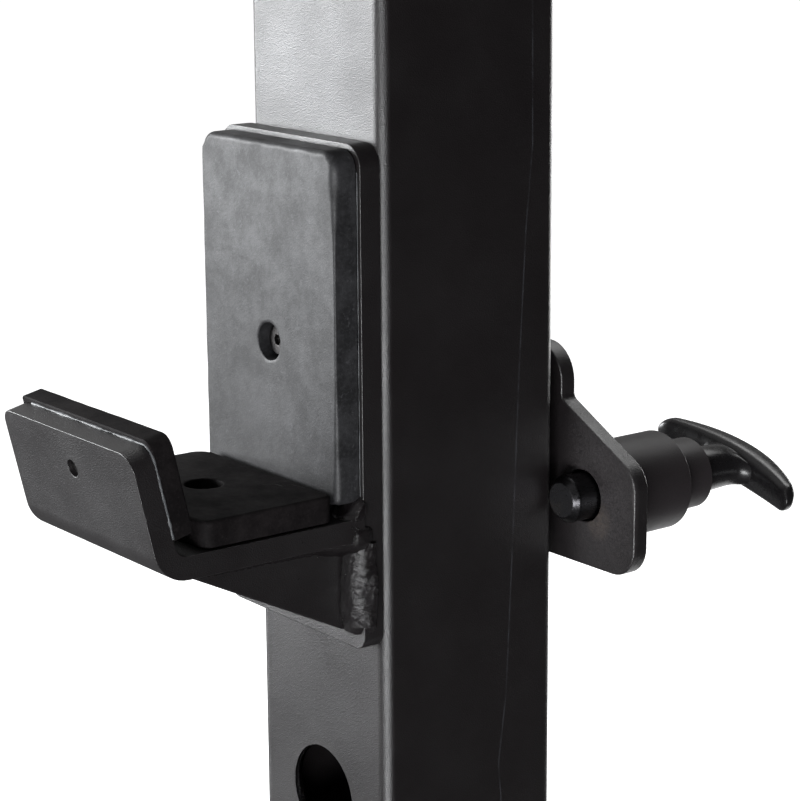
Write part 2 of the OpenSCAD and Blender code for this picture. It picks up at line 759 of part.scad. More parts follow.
// Socket screw whose head rests on the recess floor, with its shank towards -Z
module pad_screw(bite) {
    difference() {
        union() {
            cylinder(d = screw_head_d, h = screw_head_t);
            translate([0, 0, -bite]) cylinder(d = screw_d, h = bite + join);
        }
        translate([0, 0, screw_head_t - socket_depth]) hex_head(socket_w, socket_depth + cut);
    }
}
module cup_screws(side) {
    pad_rest = pad_t - recess_depth;
    lip_rest = lip_pad_t - recess_depth;
    color("#2c2d2f") at_cup(side) {
        translate([cup_mid_x, front_y - pad_rest, screw_z]) rotate([90, 0, 0])
            pad_screw(pad_rest + screw_bite);
        translate([cup_mid_x, cup_screw_y, -floor_drop + pad_rest]) pad_screw(pad_rest + screw_bite);
        on_lip() translate([cup_mid_x, lip_rest, lip_screw_up]) rotate([-90, 0, 0])
            pad_screw(lip_rest + screw_bite);
    }
}
module left_cup_screws() cup_screws(LEFT);
module right_cup_screws() cup_screws(RIGHT);

// Spring pin

module pin_barrel(side) {
    color("#1b1b1d") at_cup(side) difference() {
        y_rod(pin_x, -pin_drop, barrel_d, wrap_back_y, barrel_end_y);
        y_rod(pin_x, -pin_drop, barrel_d - 2 * barrel_t, wrap_back_y - cut, barrel_end_y + cut);
    }
}
module left_pin_barrel() pin_barrel(LEFT);
module right_pin_barrel() pin_barrel(RIGHT);

// Cap with a spigot that closes the barrel and guides the pin
module barrel_cap(side) {
    spigot_d = barrel_d - 2 * (barrel_t + run_gap);
    color("#1b1b1d") at_cup(side) difference() {
        union() {
            y_rod(pin_x, -pin_drop, cap_d, barrel_end_y, cap_end_y);
            y_rod(pin_x, -pin_drop, spigot_d, barrel_end_y - cap_spigot, barrel_end_y);
        }
        y_rod(pin_x, -pin_drop, pin_d + 2 * run_gap, barrel_end_y - cap_spigot - cut, cap_end_y + cut);
    }
}
module left_barrel_cap() barrel_cap(LEFT);
module right_barrel_cap() barrel_cap(RIGHT);

stud_d = 8;
stud_len = 12;
spring_gap = 0.5;
module pin(side) {
    color("#2a2b2d") at_cup(side) {
        translate([pin_x, pin_tip_y + pin_bevel, -pin_drop]) rotate([90, 0, 0])
            cylinder(d1 = pin_d, d2 = pin_d * 0.75, h = pin_bevel);
        y_rod(pin_x, -pin_drop, pin_d, pin_tip_y + pin_bevel, stem_y);
        y_rod(pin_x, -pin_drop, flange_d, flange_y, flange_y + flange_t);
        y_rod(pin_x, -pin_drop, stud_d, cap_end_y, cap_end_y + stud_len);
    }
}
module left_pin() pin(LEFT);
module right_pin() pin(RIGHT);

// The spring fills the sleeve of space between the flange and the cap
module pin_spring(side) {
    spring_end_y = barrel_end_y - cap_spigot - ear_gap;
    color("#8b8d90") at_cup(side) difference() {
        y_rod(pin_x, -pin_drop, flange_d, flange_y + flange_t + ear_gap, spring_end_y);
        y_rod(pin_x, -pin_drop, pin_d + 2 * spring_gap, flange_y, spring_end_y + cut);
    }
}
module left_pin_spring() pin_spring(LEFT);
module right_pin_spring() pin_spring(RIGHT);

// Crescent grip on a round stem
module pin_handle(side) {
    grip_half = grip_len / 2;
    steps = 16;
    stations = [for (i = [0:steps]) -grip_half + grip_len * i / steps];
    inner = [for (x = stations) [x, grip_hollow * (1 - pow(x / grip_half, 2))]];
    outer = [for (x = stations) [-x, grip_end_t + grip_bulge * (1 - pow(x / grip_half, 2))]];
    color("#101011") at_cup(side) translate([pin_x, 0, -pin_drop]) rotate([0, grip_turn, 0])
        difference() {
            union() {
                y_rod(0, 0, pin_d, stem_y, grip_y + grip_end_t);
                translate([0, grip_y, -grip_h / 2]) linear_extrude(grip_h) polygon(concat(inner, outer));
            }
            y_rod(0, 0, stud_d + 2 * run_gap, cap_end_y, cap_end_y + stud_len);
        }
}
module left_pin_handle() pin_handle(LEFT);
module right_pin_handle() pin_handle(RIGHT);

upper_stringer();
lower_stringer();
left_upper_bracket();
left_lower_bracket();
right_upper_bracket();
right_lower_bracket();
bracket_bolts();
hinge_bolts();
left_lock_guide();
right_lock_guide();
left_lock_pin();
right_lock_pin();
left_upright();
left_upper_arm();
left_lower_arm();
left_hinge_sleeves();
left_hinge_bushes();
left_top_plate();
left_foot();
right_upright();
right_upper_arm();
right_lower_arm();
right_hinge_sleeves();
right_hinge_bushes();
right_top_plate();
right_foot();
pullup_bar();
bar_brackets();
pivot_washers();
left_pivot_bolt();
right_pivot_bolt();
left_cup_front_plate();
left_cup_wrap_plate();
left_cup_saddle();
left_cup_gusset();
left_cup_peg();
left_cup_back_pad();
left_cup_floor_pad();
left_cup_lip_pad();
left_cup_screws();
left_pin_barrel();
left_barrel_cap();
left_pin();
left_pin_spring();
left_pin_handle();
right_cup_front_plate();
right_cup_wrap_plate();
right_cup_saddle();
right_cup_gusset();
right_cup_peg();
right_cup_back_pad();
right_cup_floor_pad();
right_cup_lip_pad();
right_cup_screws();
right_pin_barrel();
right_barrel_cap();
right_pin();
right_pin_spring();
right_pin_handle();
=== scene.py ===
"""Wall-mounted folding power rack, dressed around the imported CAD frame."""

import json
import math

import bmesh
import bpy
from mathutils import Matrix, Vector, noise


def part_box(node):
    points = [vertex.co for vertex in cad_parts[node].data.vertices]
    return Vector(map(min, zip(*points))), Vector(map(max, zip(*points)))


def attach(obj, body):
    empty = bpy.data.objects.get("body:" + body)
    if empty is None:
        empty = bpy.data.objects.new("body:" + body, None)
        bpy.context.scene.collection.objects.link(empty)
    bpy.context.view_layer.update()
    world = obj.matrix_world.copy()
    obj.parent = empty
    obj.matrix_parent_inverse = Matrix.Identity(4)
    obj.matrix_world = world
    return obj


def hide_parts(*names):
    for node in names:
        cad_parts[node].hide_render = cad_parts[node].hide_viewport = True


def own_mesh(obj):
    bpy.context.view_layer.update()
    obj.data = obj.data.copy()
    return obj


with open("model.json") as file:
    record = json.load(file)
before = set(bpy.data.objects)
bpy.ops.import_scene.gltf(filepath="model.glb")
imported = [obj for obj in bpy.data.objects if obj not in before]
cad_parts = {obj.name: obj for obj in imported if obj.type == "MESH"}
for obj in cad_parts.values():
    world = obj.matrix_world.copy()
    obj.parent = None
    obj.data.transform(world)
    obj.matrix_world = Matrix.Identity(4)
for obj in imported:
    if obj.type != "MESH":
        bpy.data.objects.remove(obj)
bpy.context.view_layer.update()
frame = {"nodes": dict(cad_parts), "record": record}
scene = bpy.context.scene
MM = 0.001
SIDES = ("left", "right")
GLINT = 0.35

# Places taken from the CAD: UPRIGHT and CUP_Z in metres, the rest in millimetres about them,
# with angles in radians


def middle(node):
    lo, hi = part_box(node)
    return (lo + hi) / 2


UPRIGHT = {s: middle(s + "_upright") for s in SIDES}
PLATE_TOP = 99
CUP_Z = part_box("left_cup_front_plate")[1].z - PLATE_TOP * MM
HALF = 38.1
WRAP_X = -45.1
FRONT_Y = -46.1
CUP_T = 8.0
LIP_LEAN = math.radians(13)
LIP_RISE = 9.5
SADDLE_DEPTH = 80.5
BEND_Y = FRONT_Y - SADDLE_DEPTH
FLOOR_TOP_Z = -26.7
LIP_BASE_Z = FLOOR_TOP_Z - CUP_T
PIN_X, PIN_Z = 47.0, -32.6
WRAP_BACK_Y = 50.0
STEM_Y = 95.5
GRIP_Y = 111.0
GRIP_TURN = math.radians(12.5)


def at_cup(side):
    """From a cup's own millimetres to metres in the shared frame."""
    c = UPRIGHT[side]
    return Matrix.Translation((c.x, c.y, CUP_Z)) @ Matrix.Scale(MM, 4)


# Node helpers for materials


class Mat:
    """A Principled material with short calls for the procedural nodes."""

    def __init__(self, name, rough, metal=0.0, spec=0.5):
        self.mat = bpy.data.materials.new(name)
        self.mat.use_nodes = True
        self.tree = self.mat.node_tree
        self.bsdf = self.tree.nodes["Principled BSDF"]
        self.bsdf.inputs["Roughness"].default_value = rough
        self.bsdf.inputs["Metallic"].default_value = metal
        self.bsdf.inputs["Specular IOR Level"].default_value = spec
        self.coord = self.node("ShaderNodeTexCoord").outputs["Object"]

    def node(self, kind, **props):
        n = self.tree.nodes.new(kind)
        for k, v in props.items():
            setattr(n, k, v)
        return n

    def put(self, socket, value):
        if isinstance(value, bpy.types.NodeSocket):
            self.tree.links.new(value, socket)
        else:
            socket.default_value = value

    def math(self, op, a, b=0.0, c=0.0):
        n = self.node("ShaderNodeMath", operation=op)
        for i, v in enumerate((a, b, c)):
            self.put(n.inputs[i], v)
        return n.outputs[0]

    def noise(self, scale, detail, rough, stretch=(1, 1, 1), seed=0.0):
        n = self.node("ShaderNodeTexNoise")
        n.inputs["Scale"].default_value = scale
        n.inputs["Detail"].default_value = detail
        n.inputs["Roughness"].default_value = rough
        self.put(n.inputs["Vector"], self.placed(stretch, (seed, seed * 0.7, seed * 1.3)))
        return n.outputs["Fac"]

    def placed(self, scale, shift):
        m = self.node("ShaderNodeMapping")
        self.put(m.inputs["Vector"], self.coord)
        m.inputs["Scale"].default_value = scale
        m.inputs["Location"].default_value = shift
        return m.outputs["Vector"]

    def voronoi(self, scale, seed):
        n = self.node("ShaderNodeTexVoronoi")
        n.inputs["Scale"].default_value = scale
        self.put(n.inputs["Vector"], self.placed((1, 1, 1), (seed, seed, seed)))
        return n.outputs["Distance"]

    def ramp(self, value, lo, hi, a=0.0, b=1.0):
        n = self.node("ShaderNodeMapRange")
        n.clamp = True
        names = ("Value", "From Min", "From Max", "To Min", "To Max")
        for name, v in zip(names, (value, lo, hi, a, b)):
            self.put(n.inputs[name], v)
        return n.outputs["Result"]

    def mix(self, fac, a, b):
        n = self.node("ShaderNodeMix", data_type="RGBA")
        self.put(n.inputs[0], fac)
        self.put(n.inputs[6], a if isinstance(a, bpy.types.NodeSocket) else (*a, 1))
        self.put(n.inputs[7], b if isinstance(b, bpy.types.NodeSocket) else (*b, 1))
        return n.outputs[2]

    def colour(self, value):
        if not isinstance(value, bpy.types.NodeSocket):
            value = (*value, 1)
        self.put(self.bsdf.inputs["Base Color"], value)

    def rough(self, value):
        self.put(self.bsdf.inputs["Roughness"], value)

    def bump(self, height, distance):
        """Adds a bump to those that are there already."""
        n = self.node("ShaderNodeBump")
        n.inputs["Strength"].default_value = 1.0
        n.inputs["Distance"].default_value = distance
        self.put(n.inputs["Height"], height)
        before = self.bsdf.inputs["Normal"].links
        if before:
            self.put(n.inputs["Normal"], before[0].from_socket)
        self.put(self.bsdf.inputs["Normal"], n.outputs["Normal"])

    def xyz(self):
        n = self.node("ShaderNodeSeparateXYZ")
        self.put(n.inputs[0], self.coord)
        return n.outputs


def powder_coat(name, base, rough, grain=1.0, wear=0.0, spec=0.5):
    """Fine-textured powder coat: tight orange peel, a pepper of tiny glints, partly painted in as paler
    specks, and faint handling haze.
    """
    m = Mat(name, rough=rough, spec=spec)
    peel = m.noise(2900, 3.0, 0.7)
    grit = m.voronoi(2400, seed=3.1)
    cloud = m.noise(9, 4.0, 0.6, seed=1.7)
    haze = m.noise(38, 5.0, 0.62, seed=5.3)
    light = tuple(min(1.0, c * 1.7 + 0.001) for c in base)
    dark = tuple(c * 0.66 for c in base)
    body = m.mix(m.ramp(cloud, 0.3, 0.7), dark, base)
    # paler specks on the peel: the coat's grain, with painted pinpoint glints
    body = m.mix(m.ramp(peel, 0.45, 0.75, 0.0, 0.7), body, light)
    if wear:
        scuff = m.noise(160, 6.0, 0.7, stretch=(1, 1, 0.5), seed=9.4)
        body = m.mix(m.ramp(scuff, 0.66, 0.78, 0.0, wear), body, (0.16, 0.155, 0.15))
    m.colour(body)
    m.rough(m.ramp(haze, 0.3, 0.75, rough - 0.05, rough + 0.1))
    m.bump(peel, 0.00004 * grain)
    m.bump(grit, 0.000075 * grain)
    m.body = body
    return m


def metal(name, base, rough, brushed=(1, 1, 14), stain=(0.03, 0.03, 0.03)):
    """Drawn or plated steel: fine lines of lighter and darker metal, with a few stains."""
    m = Mat(name, rough, metal=1.0)
    lines = m.noise(420, 3.0, 0.6, stretch=brushed, seed=2.2)
    spots = m.noise(60, 5.0, 0.65, seed=6.1)
    light = tuple(min(1.0, c * (1 + GLINT)) for c in base)
    body = m.mix(lines, tuple(c * 0.8 for c in base), light)
    m.colour(m.mix(m.ramp(spots, 0.55, 0.8, 0.0, 0.55), body, stain))
    m.rough(m.ramp(lines, 0.3, 0.7, rough - 0.06, rough + 0.1))
    m.bump(lines, 0.000015)
    return m


def rubber(name, base, smudge, rough, grain=1.0, spec=0.35):
    """Pressed sheet rubber: cloudy, with rubbed paler smudges, chalky specks and short scratches."""
    m = Mat(name, rough=rough, spec=spec)
    cloud = m.noise(26, 5.0, 0.6, seed=4.4)
    rub = m.noise(70, 7.0, 0.72, seed=8.8)
    pores = m.noise(2100, 2.0, 0.6, seed=1.1)
    chalk = m.noise(900, 4.0, 0.75, seed=6.2)
    hair = m.noise(150, 2.0, 0.5, stretch=(1, 1, 0.12), seed=7.3)
    body = m.mix(m.ramp(cloud, 0.32, 0.68), tuple(c * 0.8 for c in base), base)
    body = m.mix(m.ramp(rub, 0.42, 0.64, 0.0, 1.0), body, smudge)
    fleck = m.noise(420, 3.0, 0.6, seed=2.7)
    body = m.mix(m.ramp(fleck, 0.64, 0.72, 0.0, 0.4 * grain), body, tuple(c * 2.4 for c in smudge))
    body = m.mix(m.ramp(chalk, 0.5, 0.8, 0.0, 0.7 * grain), body, tuple(c * 1.5 for c in smudge))
    body = m.mix(m.ramp(hair, 0.7, 0.76, 0.0, 0.2), body, tuple(c * 1.5 for c in smudge))
    body = m.mix(m.ramp(pores, 0.56, 0.75, 0.0, 0.4 * grain), body, tuple(c * 0.6 for c in base))
    m.colour(body)
    m.rough(m.ramp(rub, 0.3, 0.8, rough + 0.08, rough - 0.1))
    m.bump(pores, 0.000055 * grain)
    m.bump(rub, 0.0001)
    m.body = body
    return m


def band(m, value, centre, width):
    """1 on the centre, falling to 0 at half a width away."""
    off = m.math("ABSOLUTE", m.math("SUBTRACT", value, centre))
    return m.ramp(off, width * 0.2, width * 0.5, 1.0, 0.0)


def hairline(m, points, width, tint, face, axes=(1, 2, 0)):
    """A long scratch through [u, v] points in metres, where the third axis is at face."""
    place = m.xyz()
    u, v, w = (place[i] for i in axes)
    here = band(m, w, face, 0.004)
    line = None
    for (u0, v0), (u1, v1) in zip(points, points[1:]):
        slope = (u1 - u0) / (v1 - v0)
        want = m.math("MULTIPLY_ADD", m.math("SUBTRACT", v, v0), slope, u0)
        lo, hi = min(v0, v1), max(v0, v1)
        inside = m.math("MULTIPLY", m.math("GREATER_THAN", v, lo), m.math("LESS_THAN", v, hi))
        part = m.math("MULTIPLY", band(m, m.math("SUBTRACT", u, want), 0.0, width), inside)
        line = part if line is None else m.math("MAXIMUM", line, part)
    broken = m.ramp(m.noise(130, 3.0, 0.6, seed=2.9), 0.38, 0.6, 0.2, 1.0)
    m.body = m.mix(m.math("MULTIPLY", m.math("MULTIPLY", line, here), broken), m.body, tint)
    m.colour(m.body)


def spot(m, centre, reach, tint, amount, seed, grain=520):
    """A tinted patch about a place in metres, broken up by noise: worn marks, and also painted light."""
    x, y, z = m.xyz()
    total = None
    for value, c, r in zip((x, y, z), centre, reach):
        d = m.math("DIVIDE", m.math("SUBTRACT", value, c), r)
        d = m.math("MULTIPLY", d, d)
        total = d if total is None else m.math("ADD", total, d)
    near = m.ramp(total, 0.0, 1.0, 1.0, 0.0)
    # the noise that breaks up both worn marks and painted light
    wear_and_light_breakup = m.ramp(m.noise(grain, 6.0, 0.8, seed=seed), 0.38, 0.62)
    m.body = m.mix(m.math("MULTIPLY", m.math("MULTIPLY", near, wear_and_light_breakup), amount), m.body, tint)
    m.colour(m.body)


# Materials

frame_coat = powder_coat("frame_coat", (0.0080, 0.0064, 0.0069), rough=0.36, spec=0.62)
cup_coat = powder_coat("cup_coat", (0.0080, 0.0064, 0.0070), rough=0.37, wear=0.12, spec=0.8)
bracket_coat = powder_coat("bracket_coat", (0.0190, 0.0168, 0.0178), rough=0.41, wear=0.12)
weld_coat = powder_coat("weld_coat", (0.0085, 0.0070, 0.0076), rough=0.17, grain=0.3, wear=0.1)
weld_coat.bump(weld_coat.noise(1000, 5.0, 0.7, seed=6.6), 0.0003)
barrel_coat = powder_coat("barrel_coat", (0.021, 0.0173, 0.0187), rough=0.5, grain=0.25, spec=0.4)
hardware = metal("hardware_steel", (0.10, 0.10, 0.105), 0.42)
screw_steel = metal("screw_steel", (0.038, 0.036, 0.036), 0.42, stain=(0.10, 0.06, 0.04))
pin_black = metal("pin_black_oxide", (0.045, 0.044, 0.047), 0.3, brushed=(6, 1, 6), stain=(0.10, 0.085, 0.07))
peg_steel = metal("peg_steel", (0.30, 0.30, 0.31), 0.35, brushed=(1, 12, 1))
zinc = metal("zinc_steel", (0.52, 0.53, 0.55), 0.33, stain=(0.30, 0.30, 0.30))
spring_steel = metal("spring_steel", (0.42, 0.43, 0.45), 0.28)
bronze = metal("bronze_bush", (0.52, 0.36, 0.17), 0.36, stain=(0.24, 0.15, 0.07))
nylon = rubber("nylon_washer", (0.62, 0.60, 0.54), (0.70, 0.68, 0.62), rough=0.5, grain=0.3)
pad_grey = rubber("pad_grey_rubber", (0.0125, 0.0123, 0.0134), (0.0335, 0.0333, 0.0357),
                  rough=0.50, spec=0.32)
pad_black = rubber("pad_black_rubber", (0.0052, 0.0042, 0.0046), (0.0125, 0.0106, 0.0110),
                   rough=0.7, spec=0.1)
foot_rubber = rubber("foot_rubber", (0.018, 0.018, 0.018), (0.035, 0.034, 0.033), rough=0.7)
glue = rubber("contact_glue", (0.060, 0.062, 0.066), (0.13, 0.135, 0.14), rough=0.45, grain=0.6)

gloss = Mat("gloss_handle", rough=0.27, spec=0.4)
gloss_mark = gloss.noise(240, 5.0, 0.65, seed=3.7)
gloss_worn = gloss.ramp(gloss_mark, 0.6, 0.8, 0.0, 0.4)
gloss.colour(gloss.mix(gloss_worn, (0.0085, 0.0078, 0.0085), (0.018, 0.017, 0.0175)))
gloss.rough(gloss.ramp(gloss_mark, 0.35, 0.75, 0.22, 0.36))
gloss.bump(gloss.noise(900, 2.0, 0.5, seed=5.9), 0.00001)


def cup_place(side, x, y, z):
    """A place in a cup's own millimetres, in metres in the shared frame."""
    c = UPRIGHT[side]
    return (c.x + x * MM, c.y + y * MM, CUP_Z + z * MM)


FLOOR_PAD_TOP = -17.2
LEFT = UPRIGHT["left"]
SCRATCH = ((26.4, 170), (26.4, 142.3), (26.8, 93.5), (24.0, 64.3), (21.2, 13.8), (18.8, -44.0),
           (15.9, -103.3), (12.5, -129.2), (13.6, -141.8), (14.5, -165))
hairline(frame_coat, [(LEFT.y + y * MM, CUP_Z + z * MM) for y, z in SCRATCH], width=0.0008,
         tint=(0.030, 0.030, 0.034), face=LEFT.x + HALF * MM)
PAD_SCRATCH = ((-68.5, 9.8), (-64.7, 12.0), (-64.3, 15.6), (-60.6, 16.3), (-59.7, 22.5))
hairline(pad_black, [(LEFT.y + y * MM, LEFT.x + x * MM) for y, x in PAD_SCRATCH], width=0.0007,
         tint=(0.05, 0.047, 0.046), face=CUP_Z + FLOOR_PAD_TOP * MM, axes=(1, 0, 2))
# places on the wrap plate: a brown scuff by the pin, a wide paler speckled patch, and a bright line painted
# along the near edge, a painted edge highlight broken into worn dots
for side in SIDES:
    spot(cup_coat, cup_place(side, 55.5, 43.6, -40), reach=(0.007, 0.003, 0.008),
         tint=(0.10, 0.078, 0.060), amount=0.85, seed=3.3)
    # a wide paler speckled patch over the plate's face
    spot(cup_coat, cup_place(side, 58, 43.6, -30), reach=(0.026, 0.003, 0.040),
         tint=(0.065, 0.058, 0.060), amount=0.75, seed=7.7, grain=1500)
    # painted highlight: a bright line along the plate's near edge, broken into worn dots
    spot(cup_coat, cup_place(side, 73.2, 42.4, -24), reach=(0.0016, 0.0014, 0.022),
         tint=(0.22, 0.215, 0.21), amount=0.9, seed=5.1)

SLOT_MATERIAL = {
    "frame_coat": frame_coat, "bracket_coat": bracket_coat, "cup_coat": cup_coat,
    "hardware_steel": hardware, "zinc_steel": zinc, "bronze": bronze, "nylon": nylon,
    "foot_rubber": foot_rubber, "grey_rubber": pad_grey, "black_rubber": pad_black,
    "screw_steel": screw_steel, "spring_steel": spring_steel, "gloss_handle": gloss,
    "satin_black_barrel": barrel_coat, "black_oxide_pin": pin_black, "peg_steel": peg_steel,
}

# CAD nodes: finish and softened edges

SAME_PLACE = 0.000002
FLAT_ANGLE = math.radians(0.4)
EDGE_ANGLE = math.radians(38)
PLAIN_EDGE_MM = 0.6
EDGE_MM = {"upright": 0.0, "bush": 0.25, "washer": 0.25, "pin": 0.35, "screws": 0.25, "peg": 0.4,
           "bolt": 0.7}


def clean_group():
    """Joins the faces of a CAD node at their shared edges and drops its stored normals."""
    g = bpy.data.node_groups.new("weld_faces", "GeometryNodeTree")
    g.interface.new_socket("Geometry", in_out="INPUT", socket_type="NodeSocketGeometry")
    g.interface.new_socket("Geometry", in_out="OUTPUT", socket_type="NodeSocketGeometry")
    first = g.nodes.new("NodeGroupInput")
    last = g.nodes.new("NodeGroupOutput")
    drop = g.nodes.new("GeometryNodeRemoveAttribute")
    drop.inputs["Name"].default_value = "custom_normal"
    weld = g.nodes.new("GeometryNodeMergeByDistance")
    weld.inputs["Distance"].default_value = SAME_PLACE
    smooth = g.nodes.new("GeometryNodeSetShadeSmooth")
    smooth.inputs["Shade Smooth"].default_value = True
    chain = (first, drop, weld, smooth, last)
    for a, b in zip(chain, chain[1:]):
        g.links.new(a.outputs[0], b.inputs[0])
    return g


WELD_FACES = clean_group()


def soften(obj, width):
    """Rounds a CAD node's sharp edges by width millimetres, with modifiers alone."""
    mod = obj.modifiers.new("weld", "NODES")
    mod.node_group = WELD_FACES
    flat = obj.modifiers.new("flat_faces", "DECIMATE")
    flat.decimate_type = "DISSOLVE"
    flat.angle_limit = FLAT_ANGLE
    if width:
        bevel = obj.modifiers.new("edges", "BEVEL")
        bevel.width = width * MM
        bevel.segments = 3
        bevel.limit_method = "ANGLE"
        bevel.angle_limit = EDGE_ANGLE
        bevel.use_clamp_overlap = True
        bevel.miter_outer = "MITER_ARC"
    normals = obj.modifiers.new("normals", "WEIGHTED_NORMAL")
    normals.keep_sharp = True


def dress_nodes():
    """Gives each CAD node its slot's material and softens its edges."""
    slots = {p["node"]: p["material_slot"] for p in frame["record"]["subparts"]}
    for name, obj in frame["nodes"].items():
        finish = SLOT_MATERIAL[slots[name]].mat
        for i in range(len(obj.material_slots)):
            obj.material_slots[i].material = finish
        width = PLAIN_EDGE_MM
        for word, mm in EDGE_MM.items():
            if word in name:
                width = mm
        soften(obj, width)


dress_nodes()

# Mesh helpers


def add_piece(name, bm, body, material, sharp=34, replaced=()):
    """Makes the mesh a piece that rides on a body, with edges sharper than sharp degrees kept."""
    bmesh.ops.recalc_face_normals(bm, faces=bm.faces)
    mesh = bpy.data.meshes.new(name)
    bm.to_mesh(mesh)
    bm.free()
    for p in mesh.polygons:
        p.use_smooth = True
    mesh.set_sharp_from_angle(angle=math.radians(sharp))
    mesh.materials.append(material.mat)
    obj = bpy.data.objects.new(name, mesh)
    scene.collection.objects.link(obj)
    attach(obj, body)
    if replaced:
        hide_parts(*replaced)
    return obj


def ring(bm, points):
    return [bm.verts.new(p) for p in points]


def skin(bm, a, b):
    n = len(a)
    for i in range(n):
        bm.faces.new((a[i], a[(i + 1) % n], b[(i + 1) % n], b[i]))


def loft(bm, rings):
    """Skins from each ring to the next, and closes both ends."""
    for a, b in zip(rings, rings[1:]):
        skin(bm, a, b)
    bm.faces.new(rings[0])
    bm.faces.new(rings[-1])


def turn_steps(count):
    """The angles of equal steps round a full turn."""
    return [2 * math.pi * k / count for k in range(count)]


def round_ring(bm, centre, u, v, radius):
    """A ring of ten points about a centre, across u and v."""
    return ring(bm, [centre + (u * math.cos(a) + v * math.sin(a)) * radius for a in turn_steps(10)])


def round_corners(corners, steps=8):
    """Outline through (x, y, radius) corners, anticlockwise."""
    out = []
    n = len(corners)
    for i, (x, y, r) in enumerate(corners):
        p = Vector((x, y))
        a = (Vector(corners[i - 1][:2]) - p).normalized()
        b = (Vector(corners[(i + 1) % n][:2]) - p).normalized()
        half = a.angle(b) / 2
        centre = p + (a + b).normalized() * (r / math.sin(half))
        start = p + a * (r / math.tan(half)) - centre
        sweep = (p + b * (r / math.tan(half)) - centre).angle_signed(start)
        for k in range(steps + 1):
            t = sweep * k / steps
            c, s = math.cos(t), math.sin(t)
            out.append(centre + Vector((start.x * c - start.y * s, start.x * s + start.y * c)))
    return out


def refine(loop, step):
    """The outline with its long runs cut into steps."""
    out = []
    for a, b in zip(loop, loop[1:] + loop[:1]):
        count = max(1, round((b - a).length / step))
        out += [a.lerp(b, k / count) for k in range(count)]
    return out


def inward(loop):
    """The unit vector into the outline at each point."""
    n = len(loop)
    out = []
    for i in range(n):
        t = (loop[(i + 1) % n] - loop[i - 1]).normalized()
        out.append(Vector((-t.y, t.x)))
    return out


def slab(corners, thick, roll, hole, hole_r, depth, place, seed, back_roll=0.6):
    """A pad in u, v and w: rolled front edge of roll(u, v) millimetres and a round recess in the front."""
    loop = refine(round_corners(corners), 1.6)
    into = inward(loop)
    bm = bmesh.new()

    def outline(inset, w):
        pts = []
        for i, p in enumerate(loop):
            q = p + into[i] * inset(i)
            pts.append(place @ Vector((q.x, q.y, w(i))))
        return ring(bm, pts)

    def wave_at(p, fine, shift):
        return noise.noise(Vector((p.x * fine, p.y * fine, seed + shift)))

    rolls = [max(0.3, roll(p.x, p.y) * (1 + 0.35 * wave_at(p, 0.11, 0))) for p in loop]
    wobble = [0.22 * wave_at(p, 0.2, 5) for p in loop]
    rings = [outline(lambda i: back_roll, lambda i: 0.0), outline(lambda i: 0.0, lambda i: back_roll)]
    steps = 6
    for k in range(steps + 1):
        a = math.pi / 2 * k / steps
        rings.append(outline(
            lambda i: rolls[i] * (1 - math.cos(a)) + wobble[i] * math.sin(a) * 0.5 + 0.1,
            lambda i: thick - rolls[i] * (1 - math.sin(a))))
    rings.append(outline(lambda i: rolls[i] + wobble[i] * 0.5 + 0.6, lambda i: thick))
    for a, b in zip(rings, rings[1:]):
        skin(bm, a, b)

    def circle(r, w, wave=0.0):
        pts = []
        for t in turn_steps(48):
            q = r + wave * noise.noise(Vector((math.cos(t) * 2, math.sin(t) * 2, seed + 9)))
            pts.append(place @ Vector((hole[0] + q * math.cos(t), hole[1] + q * math.sin(t), w)))
        return ring(bm, pts)

    mouth = [
        circle(hole_r + 1.3, thick, 0.5),
        circle(hole_r + 0.5, thick, 0.5),
        circle(hole_r + 0.15, thick - 0.2, 0.3),
        circle(hole_r, thick - 0.9),
        circle(hole_r, thick - depth + 0.3),
        circle(hole_r - 0.4, thick - depth),
    ]
    for a, b in zip(mouth, mouth[1:]):
        skin(bm, a, b)
    bm.faces.new(mouth[-1])
    bm.faces.new(rings[0])
    edges = []
    for loop_verts in (rings[-1], mouth[0]):
        n = len(loop_verts)
        edges += [bm.edges.get((loop_verts[i], loop_verts[(i + 1) % n])) for i in range(n)]
    bmesh.ops.triangle_fill(bm, edges=edges, use_beauty=True, use_dissolve=False)
    return bm


def frames(path):
    """Tangent, normal and binormal along a path, turned as little as possible."""
    out = []
    up = None
    for i in range(len(path)):
        t = (path[min(i + 1, len(path) - 1)] - path[max(i - 1, 0)]).normalized()
        if up is None:
            up = t.orthogonal().normalized()
        up = (up - t * up.dot(t)).normalized()
        out.append((t, up, t.cross(up)))
    return out


def along(points, step):
    """The run through the points, cut into steps."""
    path = []
    for a, b in zip(points, points[1:]):
        count = max(1, round((b - a).length / step))
        path += [a.lerp(b, k / count) for k in range(count)]
    return path + [points[-1]]


BEAD_STEP = 0.6
BEAD_SIDES = 12


